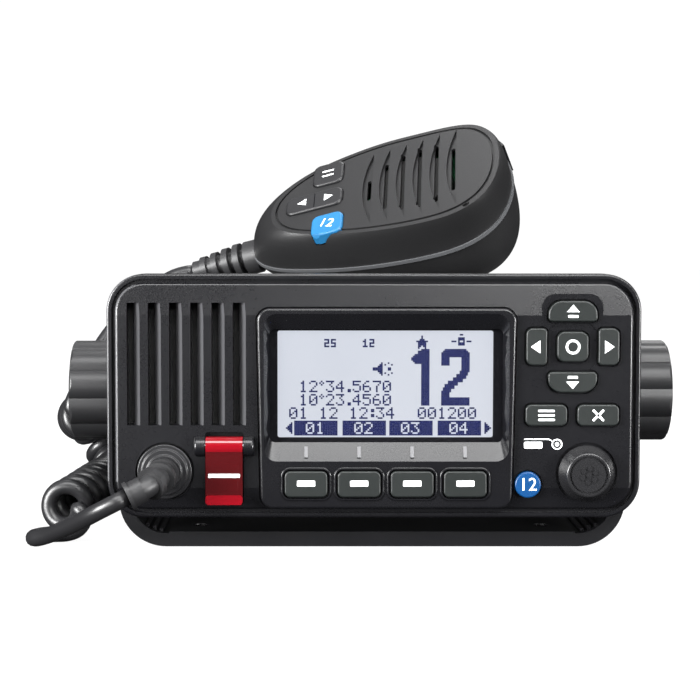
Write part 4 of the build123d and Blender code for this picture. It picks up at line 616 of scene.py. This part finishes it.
SOFT_BAR, SOFT_RISE = rounded_box(6.1, 2.0, 0.4), 0.3
LOW_TRIANGLE, LOW_TRIANGLE_RISE = [(1.25, 0.0), (-1.25, 2.15), (-1.25, -2.15)], 1.0
ARROW_LINE, ARROW_LINE_DROP = rounded_box(3.4, 0.9, 0.2), 1.7
TRIANGLE = [(1.6, 0.0), (-1.6, 2.2), (-1.6, -2.2)]
MENU_LINE, MENU_STEP = rounded_box(5.6, 0.75, 0.3), 1.5
CROSS_LINE = rounded_box(5.2, 0.8, 0.3)
for index in range(1, 5):
    mark(f"mark_soft_{index}", [SOFT_BAR], key_place(f"soft_key_{index}", 0, SOFT_RISE),
         f"soft_key_{index}")
for name, turn, way in (("key_up", 90, 1), ("key_down", -90, -1)):
    arrow = moved(LOW_TRIANGLE, 0, LOW_TRIANGLE_RISE * way, turn)
    line = moved(ARROW_LINE, 0, -ARROW_LINE_DROP * way)
    mark("mark_" + name, [arrow, line], key_place(name), name)
for name, turn, dx in (("key_left", 180, -0.4), ("key_right", 0, 0.2)):
    mark("mark_" + name, [moved(TRIANGLE, 0, 0, turn)], key_place(name, dx), name)
mark("mark_key_enter", ring_outlines(2.1, 0.8), key_place("key_enter"), "key_enter")
mark("mark_key_menu", [moved(MENU_LINE, 0, row * MENU_STEP) for row in (-1, 0, 1)],
     key_place("key_menu"), "key_menu")
mark("mark_key_clear", [moved(CROSS_LINE, 0, 0, turn) for turn in (45, -45)],
     key_place("key_clear"), "key_clear")

# %% [markdown]
# ## Bar on the distress cover
# A white bar is printed across the red flap. The flap's front lies a little behind the cover's lip, and
# the bar rides on the cover, so it swings up with it.

# %% Bar on the distress cover
FLAP_BEHIND_LIP = 1.1
BAR_UNDER_TOP = 12.9
COVER_BAR = rounded_box(10.6, 1.3, 0.3)
flap_front = cover_low[1] + FLAP_BEHIND_LIP * MM
flap_place = facing_front((cover_low[0] + cover_high[0]) / 2, flap_front - LIFT * MM,
                          cover_high[2] - BAR_UNDER_TOP * MM)
mark("mark_distress_cover", [COVER_BAR], flap_place, "distress_cover")
print("flap front at", round(flap_front, 4))

# %% [markdown]
# ## Ticks on the slope under the display
# Under the display its frame slopes down towards the soft keys, and four short grey ticks lead from the
# labels to the keys. A mark on a slope needs the slope's own axes: the radio's right, the direction up
# the slope, and their cross product, which points out of it.

# %% Ticks on the slope
SLOPE_RUN, SLOPE_RISE = 3.4, 6.1
TICK_BEHIND_RIM = 1.7
TICK_HEIGHT = 0.03545   # middle of the ticks, in metres
TICK_LIFT = 0.12        # front of the ticks over the slope
TICK = rounded_box(1.2, 4.0, 0.2)
to_the_right = Vector((1, 0, 0))
slope_up = Vector((0, SLOPE_RUN, SLOPE_RISE)).normalized()
slope_out = to_the_right.cross(slope_up)
slope_axes = Matrix((to_the_right, slope_up, slope_out)).transposed().to_4x4()
for index in range(1, 5):
    low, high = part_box(f"soft_key_{index}")
    middle = Vector(((low[0] + high[0]) / 2, frame_low[1] + TICK_BEHIND_RIM * MM, TICK_HEIGHT))
    tick_place = Matrix.Translation(middle + slope_out * TICK_LIFT * MM) @ slope_axes
    mark(f"mark_tick_{index}", [TICK], tick_place, "transceiver", tick_grey)
print("slope:", round(math.degrees(math.atan2(SLOPE_RISE, SLOPE_RUN))), "degrees")

# %% [markdown]
# ## Marks beside the volume knob
# These are printed on the panel itself: a ring round a dot, a bar, and a line that runs above the bar
# to the ring. Their places are counted from the middle of the radio's face. The keys stand out of the
# panel by a known step, so a key's box tells where the panel's front is.

# %% Marks on the panel
KEY_STANDS_OUT = 1.5
FACE_MIDDLE = 0.054     # its height, in metres
RING_X, RING_Z = 61.6, -16.0
BAR_X, BAR_Z = 53.6, -16.3
LEAD_LINE = [(50.5, -14.1), (58.9, -14.1), (60.5, -15.1), (60.3, -15.4), (58.8, -14.5), (50.5, -14.5)]
panel_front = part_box("key_up")[0][1] + KEY_STANDS_OUT * MM


def face_place(x, height):
    """Axes on the panel, x and height millimetres from the middle of the face."""
    return facing_front(x * MM, panel_front - LIFT * MM, FACE_MIDDLE + height * MM)


mark("mark_volume_ring", ring_outlines(1.6, 0.45), face_place(RING_X, RING_Z), "transceiver")
mark("mark_volume_dot", [disc(0.75, 12)], face_place(RING_X, RING_Z), "transceiver")
mark("mark_volume_line", [LEAD_LINE], face_place(0, 0), "transceiver")
mark("mark_volume_bar", [rounded_box(6.2, 2.3, 0.5)], face_place(BAR_X, BAR_Z), "transceiver")
print("panel front at", round(panel_front, 4))

# %% [markdown]
# ## Numbers on the channel keys
# Both channel keys carry a number, the same as the large one on the display. Blender's own font draws
# it: a text curve with a little thickness is made a mesh, which is then placed as the other marks are.

# %% Numbers on the channel keys
CHANNEL = "12"
NUMBER_SIZE = 6.2


def number_mark(name, place, body):
    """The channel's number, made a mesh before it is placed."""
    curve = bpy.data.curves.new(name, "FONT")
    curve.body = CHANNEL
    curve.size = NUMBER_SIZE * MM
    curve.align_x = "CENTER"
    curve.align_y = "CENTER"
    curve.extrude = INK * MM / 2
    curve.resolution_u = 3
    written = bpy.data.objects.new(name, curve)
    mesh = bpy.data.meshes.new_from_object(written)
    bpy.data.objects.remove(written)
    bm = bmesh.new()
    bm.from_mesh(mesh)
    bpy.data.meshes.remove(mesh)
    bmesh.ops.transform(bm, matrix=place, verts=bm.verts[:])
    return finish_piece(name, bm, body, print_white)


number_mark("mark_channel", key_place("key_channel"), "key_channel")

# %% [markdown]
# ## Marks on the microphone
# The microphone lies aslant, so its marks are placed by its own axes. They come from its joints: the
# rocker turns about an axis across the microphone, a key moves along the direction into its face, and
# the cross product runs along the microphone.

# %% Marks on the microphone
KEY_TOP = 1.06          # top of a key over the origin of its joint
ROCKER_TOP = 2.26       # top of the rocker over its hinge
NUMBER_TURN = -20       # degrees, because the channel key is set aslant
SMALL_TRIANGLE = [(1.9, 0.0), (-1.5, 1.9), (-1.5, -1.9)]
ROCKER_LINE = rounded_box(0.35, 8.0, 0.15)
MIC_LINE, MIC_LINE_STEP = rounded_box(4.6, 0.8, 0.3), 1.3
mic_v = Vector(joints["mic_rocker_tilt"]["axis"]).normalized()
mic_n = -Vector(joints["mic_key_upper_press"]["axis"]).normalized()
mic_u = mic_v.cross(mic_n).normalized()


def mic_place(joint, x=0.0, y=0.0, lift=KEY_TOP, turn=0.0):
    """Axes on a key of the microphone: x along the microphone, z out of its face."""
    axes = Matrix((mic_u, mic_v, mic_n)).transposed().to_4x4()
    centre = Vector(joints[joint]["pos_m"]) + (mic_u * x + mic_v * y + mic_n * lift) * MM
    return Matrix.Translation(centre) @ axes @ Matrix.Rotation(math.radians(turn), 4, "Z")


mark("mark_rocker_left", [moved(SMALL_TRIANGLE, 0, 0, 180)],
     mic_place("mic_rocker_tilt", -4.6, 0.2, ROCKER_TOP), "mic_rocker")
mark("mark_rocker_right", [SMALL_TRIANGLE], mic_place("mic_rocker_tilt", 5.6, 0.2, ROCKER_TOP),
     "mic_rocker")
mark("mark_rocker_middle", [ROCKER_LINE], mic_place("mic_rocker_tilt", 0.2, 0, ROCKER_TOP),
     "mic_rocker", black_mask_and_painted_shade)
mark("mark_mic_upper", [moved(MIC_LINE, 0, dy) for dy in (-MIC_LINE_STEP, MIC_LINE_STEP)],
     mic_place("mic_key_upper_press"), "mic_key_upper")
number_mark("mark_mic_channel", mic_place("mic_key_channel_press", turn=NUMBER_TURN), "mic_key_channel")

# %% [markdown]
# ## The curly cord
# The cord is one line: a plain lead from the boot on the face, a tight helix, and a plain lead up to the
# microphone. Its route is a smooth NURBS curve with few listed points. The helix is worked out
# round that curve: each step moves along it by part of a pitch and turns by the same part of a turn.
# The pitch opens where the curl bends sharply, because the turns fan out on the outer side.

# %% Route of the cord, in metres
LEAD_ROUTE = [(-0.0809, -0.0728, 0.0231), (-0.0898, -0.0746, 0.0188), (-0.0997, -0.0610, 0.0122),
              (-0.1070, -0.0500, 0.0080), (-0.1122, -0.0426, 0.0049), (-0.1176, -0.0376, 0.0032),
              (-0.1182, -0.0304, 0.00295), (-0.1129, -0.0256, 0.00295), (-0.1075, -0.0260, 0.0030),
              (-0.1030, -0.0263, 0.0046), (-0.1006, -0.0263, 0.0088)]
COIL_ROUTE = [(-0.1099, -0.0230, 0.0116), (-0.1057, -0.0080, 0.0130), (-0.1018, 0.0070, 0.0150),
              (-0.1000, 0.0230, 0.0150), (-0.0994, 0.0420, 0.0138), (-0.0994, 0.0610, 0.0142),
              (-0.1034, 0.0688, 0.0208), (-0.1091, 0.0688, 0.0302), (-0.1132, 0.0610, 0.0369),
              (-0.1123, 0.0460, 0.0366), (-0.1078, 0.0315, 0.0392)]
MIC_ROUTE = [(-0.1140, 0.0285, 0.0415), (-0.1124, 0.0304, 0.0466), (-0.1086, 0.0320, 0.0540),
             (-0.1029, 0.0345, 0.0655), (-0.0969, 0.0375, 0.0739), (-0.0893, 0.0410, 0.0818),
             (-0.0808, 0.0446, 0.0889), (-0.0732, 0.0452, 0.0936), (-0.0666, 0.0439, 0.0942)]
CORD_D = 0.0057
CURL_D = 0.0190         # outside
POINTS_PER_TURN = 14
AXIS_STEPS, CORD_STEPS = 16, 4      # points that a curve gets between two of its own
FIRST_ANGLE = math.radians(-10)
# pitch of the curl along its axis: share of the axis, pitch
CURL_PITCH = [(0.0, 0.0086), (0.14, 0.0066), (0.5, 0.0064), (0.6, 0.0100), (0.72, 0.0110),
              (0.85, 0.0068), (1.0, 0.0064)]


def nurbs(name, points, resolution):
    """A smooth curve that is drawn by its points and ends in the first and the last."""
    curve = bpy.data.curves.new(name, "CURVE")
    curve.dimensions = "3D"
    spline = curve.splines.new("NURBS")
    spline.points.add(len(points) - 1)
    for point, place in zip(spline.points, points):
        point.co = (*place, 1)
    spline.order_u = 3
    spline.use_endpoint_u = True
    spline.resolution_u = resolution
    curve.resolution_u = resolution
    return bpy.data.objects.new(name, curve)


def line_of(curve_object):
    """The points along a curve that has no bevel."""
    mesh = bpy.data.meshes.new_from_object(curve_object)
    points = [vertex.co.copy() for vertex in mesh.vertices]
    bpy.data.meshes.remove(mesh)
    return points


def pitch_at(share):
    """The pitch at a share of the axis, on straight lines between the chosen values."""
    for (a, low), (b, high) in zip(CURL_PITCH, CURL_PITCH[1:]):
        if share <= b:
            return low + (high - low) * (share - a) / (b - a)
    return CURL_PITCH[-1][1]


def curl_points(axis):
    """A helix round the axis, by carrying a cross direction along it without twist."""
    lengths = [0.0]
    for a, b in zip(axis, axis[1:]):
        lengths.append(lengths[-1] + (b - a).length)
    total = lengths[-1]
    radius = (CURL_D - CORD_D) / 2
    tangent = (axis[1] - axis[0]).normalized()
    side = Vector((1, 0, 0))
    side = (side - tangent * side.dot(tangent)).normalized()
    points, travelled, angle, index = [], 0.0, FIRST_ANGLE, 0
    while travelled < total:
        while lengths[index + 1] < travelled:
            index += 1
        share = (travelled - lengths[index]) / (lengths[index + 1] - lengths[index])
        centre = axis[index].lerp(axis[index + 1], share)
        tangent = (axis[index + 1] - axis[index]).normalized()
        side = (side - tangent * side.dot(tangent)).normalized()
        up = tangent.cross(side)
        points.append(centre + radius * (math.cos(angle) * side + math.sin(angle) * up))
        travelled += pitch_at(travelled / total) / POINTS_PER_TURN
        angle += 2 * math.pi / POINTS_PER_TURN
    return points


curl_axis = line_of(nurbs("curl_axis", COIL_ROUTE, AXIS_STEPS))
curl = curl_points(curl_axis)
print("turns of the curl:", round(len(curl) / POINTS_PER_TURN, 1))

# %% [markdown]
# ## The cord as one tube
# A circle is swept along the whole line, one ring for each point, and each ring is bridged with the one
# before it. A helix would wring a tube whose rings keep one fixed direction, so the ring's axes are
# carried along and only tilt with the line. The tube takes the place of the three plain cord pieces
# of the CAD model.

# %% Cord as one tube
CORD_SIDES = 14


def tube(path, radius, sides):
    """Sweeps a circle along the path, carrying its axes along without twist."""
    bm = bmesh.new()
    tangent = (path[1] - path[0]).normalized()
    side = tangent.orthogonal().normalized()
    ring = None
    for index, centre in enumerate(path):
        ahead = path[min(index + 1, len(path) - 1)]
        behind = path[max(index - 1, 0)]
        tangent = (ahead - behind).normalized()
        side = (side - tangent * side.dot(tangent)).normalized()
        turn = Matrix((side, tangent.cross(side), tangent)).transposed().to_4x4()
        made = bmesh.ops.create_circle(bm, segments=sides, radius=radius,
                                       matrix=Matrix.Translation(centre) @ turn,
                                       cap_ends=index in (0, len(path) - 1))
        edges = ring_edges(made["verts"])
        if ring:
            bmesh.ops.bridge_loops(bm, edges=ring + edges)
        ring = edges
    return bm


def ring_edges(verts):
    """The edges between the vertices of one ring."""
    own = set(verts)
    found = []
    for vert in verts:
        for edge in vert.link_edges:
            if edge.other_vert(vert) in own and edge not in found:
                found.append(edge)
    return found


cord_line = line_of(nurbs("cord_line", [*LEAD_ROUTE, *curl, *MIC_ROUTE], CORD_STEPS))
cord_length = sum((b - a).length for a, b in zip(cord_line, cord_line[1:]))
print("cord length:", round(cord_length, 3), "m, points", len(cord_line))
bm = tube(cord_line, CORD_D / 2, CORD_SIDES)
for face in bm.faces:
    face.smooth = True
mesh = bpy.data.meshes.new("cord")
bmesh.ops.recalc_face_normals(bm, faces=bm.faces)
bm.to_mesh(mesh)
bm.free()
mesh.materials.append(cord_rubber)
cord = bpy.data.objects.new("cord", mesh)
bpy.context.scene.collection.objects.link(cord)
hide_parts("cord_front_lead", "cord_coil", "cord_mic_lead")
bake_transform(cord)

# %% [markdown]
# ## Floor and room
# The radio stands on a plain pale floor in a white studio. Dark plastic shows its form mostly by what
# it reflects, so the camera and the radio are shown different rooms. The camera sees an even white.
# Every other ray finds a room that is bright overhead and dim near the horizon, and a floor that gives
# little light back. The Light Path node tells the two apart.

# %% Floor
FLOOR_HALF = 6          # metres
FLOOR_GLOW = 0.96


def light_path_mix(tree, seen, other, output):
    """Shows one shader to the camera and another to every other ray."""
    mix = tree.nodes.new("ShaderNodeMixShader")
    path = tree.nodes.new("ShaderNodeLightPath")
    tree.links.new(path.outputs["Is Camera Ray"], mix.inputs["Fac"])
    tree.links.new(other, mix.inputs[1])
    tree.links.new(seen, mix.inputs[2])
    tree.links.new(mix.outputs["Shader"], output)


def pale_floor():
    """Lit white to the camera; dark to every other ray."""
    material = finish("pale_floor", (0.12, 0.12, 0.12), 0.8, 60, 0.0, tone=0.01)
    tree = material.node_tree
    shader = tree.nodes["Principled BSDF"]
    shader.inputs["Emission Color"].default_value = (1, 1, 1, 1)
    shader.inputs["Emission Strength"].default_value = FLOOR_GLOW
    shader.inputs["Specular IOR Level"].default_value = 0.1
    dim = tree.nodes.new("ShaderNodeBsdfDiffuse")
    dim.inputs["Color"].default_value = (0.025, 0.025, 0.026, 1)
    light_path_mix(tree, shader.outputs["BSDF"], dim.outputs["BSDF"],
                   tree.nodes["Material Output"].inputs["Surface"])
    return material


bm = bmesh.new()
bmesh.ops.create_grid(bm, x_segments=1, y_segments=1, size=FLOOR_HALF)
floor_mesh = bpy.data.meshes.new("floor")
bm.to_mesh(floor_mesh)
bm.free()
floor_mesh.materials.append(pale_floor())
floor = bpy.data.objects.new("floor", floor_mesh)
bpy.context.scene.collection.objects.link(floor)
print("floor:", 2 * FLOOR_HALF, "m wide")


# %% World
SEEN_STRENGTH, ROOM_STRENGTH = 1.05, 0.95
FLOOR_LEVEL, TOP_COLOR = 0.008, (0.7, 0.7, 0.72, 1)
# place between the horizon at 0.5 and straight up at 1, and brightness there
ROOM_LEVELS = ((0.50, 0.008), (0.60, 0.025), (0.75, 0.13))
BLUER = 1.04            # the blue of these levels over their red and green


def studio_world():
    """White to the camera; overhead light for everything else."""
    world = bpy.data.worlds.new("studio")
    world.use_nodes = True
    tree = world.node_tree
    white = tree.nodes["Background"]
    white.inputs["Color"].default_value = (1, 1, 1, 1)
    white.inputs["Strength"].default_value = SEEN_STRENGTH
    direction = tree.nodes.new("ShaderNodeTexCoord").outputs["Generated"]
    split = tree.nodes.new("ShaderNodeSeparateXYZ")
    tree.links.new(direction, split.inputs["Vector"])
    ramp = tree.nodes.new("ShaderNodeValToRGB")
    tree.links.new(add_range(tree, split.outputs["Z"], 0.5, 1), ramp.inputs["Fac"])
    stops = ramp.color_ramp
    stops.elements[0].color = (FLOOR_LEVEL, FLOOR_LEVEL, FLOOR_LEVEL, 1)
    stops.elements[1].color = TOP_COLOR
    for place, level in ROOM_LEVELS:
        stops.elements.new(place).color = (level, level, level * BLUER, 1)
    studio = tree.nodes.new("ShaderNodeBackground")
    studio.inputs["Strength"].default_value = ROOM_STRENGTH
    tree.links.new(ramp.outputs["Color"], studio.inputs["Color"])
    light_path_mix(tree, white.outputs["Background"], studio.outputs["Background"],
                   tree.nodes["World Output"].inputs["Surface"])
    return world


bpy.context.scene.world = studio_world()
bpy.context.scene.view_settings.view_transform = "Standard"
print("world:", bpy.context.scene.world.name)

# %% [markdown]
# ## Lights
# Seven large area lights draw the highlights, because on black plastic a form shows as the reflection
# of a light. The left and right lights stand low beside the radio and draw the lines down its rims and
# the ribs of its clamp knobs. The front light gives the face its soft gloss, the brow and top lights
# draw the upper edges and the top of the microphone, and the back and rear lights are for the
# surfaces that look away from the camera.

# %% Area lights
# name: place, what it looks at, width and height in metres, power in watts
LIGHTS = {
    "left_light": ((-1.15, -0.75, 0.28), (0, 0, 0.06), (0.6, 0.6), 54),
    "right_light": ((1.15, -0.80, 0.12), (0, 0, 0.05), (0.5, 0.24), 25),
    "front_light": ((-1.00, -1.7, 0.30), (0, 0, 0.06), (1.1, 0.55), 13),
    "brow_light": ((0.75, -1.6, 0.98), (0, 0, 0.06), (1.2, 0.4), 26),
    "top_light": ((0.0, -0.62, 0.98), (0, 0, 0.06), (1.3, 0.4), 18),
    "back_light": ((-0.08, 0.40, 1.15), (0, 0, 0.10), (0.36, 0.35), 2.0),
    "rear_light": ((0.45, 1.1, 1.25), (0, 0, 0.06), (1.2, 0.5), 12),
}


def area_light(name, place, target, size, power):
    """A rectangular light that faces its target."""
    data = bpy.data.lights.new(name, "AREA")
    data.shape = "RECTANGLE"
    data.size, data.size_y = size
    data.energy = power
    light = bpy.data.objects.new(name, data)
    light.location = place
    light.rotation_euler = (Vector(target) - Vector(place)).to_track_quat("-Z", "Y").to_euler()
    bpy.context.scene.collection.objects.link(light)


for name, (place, target, size, power) in LIGHTS.items():
    area_light(name, place, target, size, power)
print("lights:", len(LIGHTS))
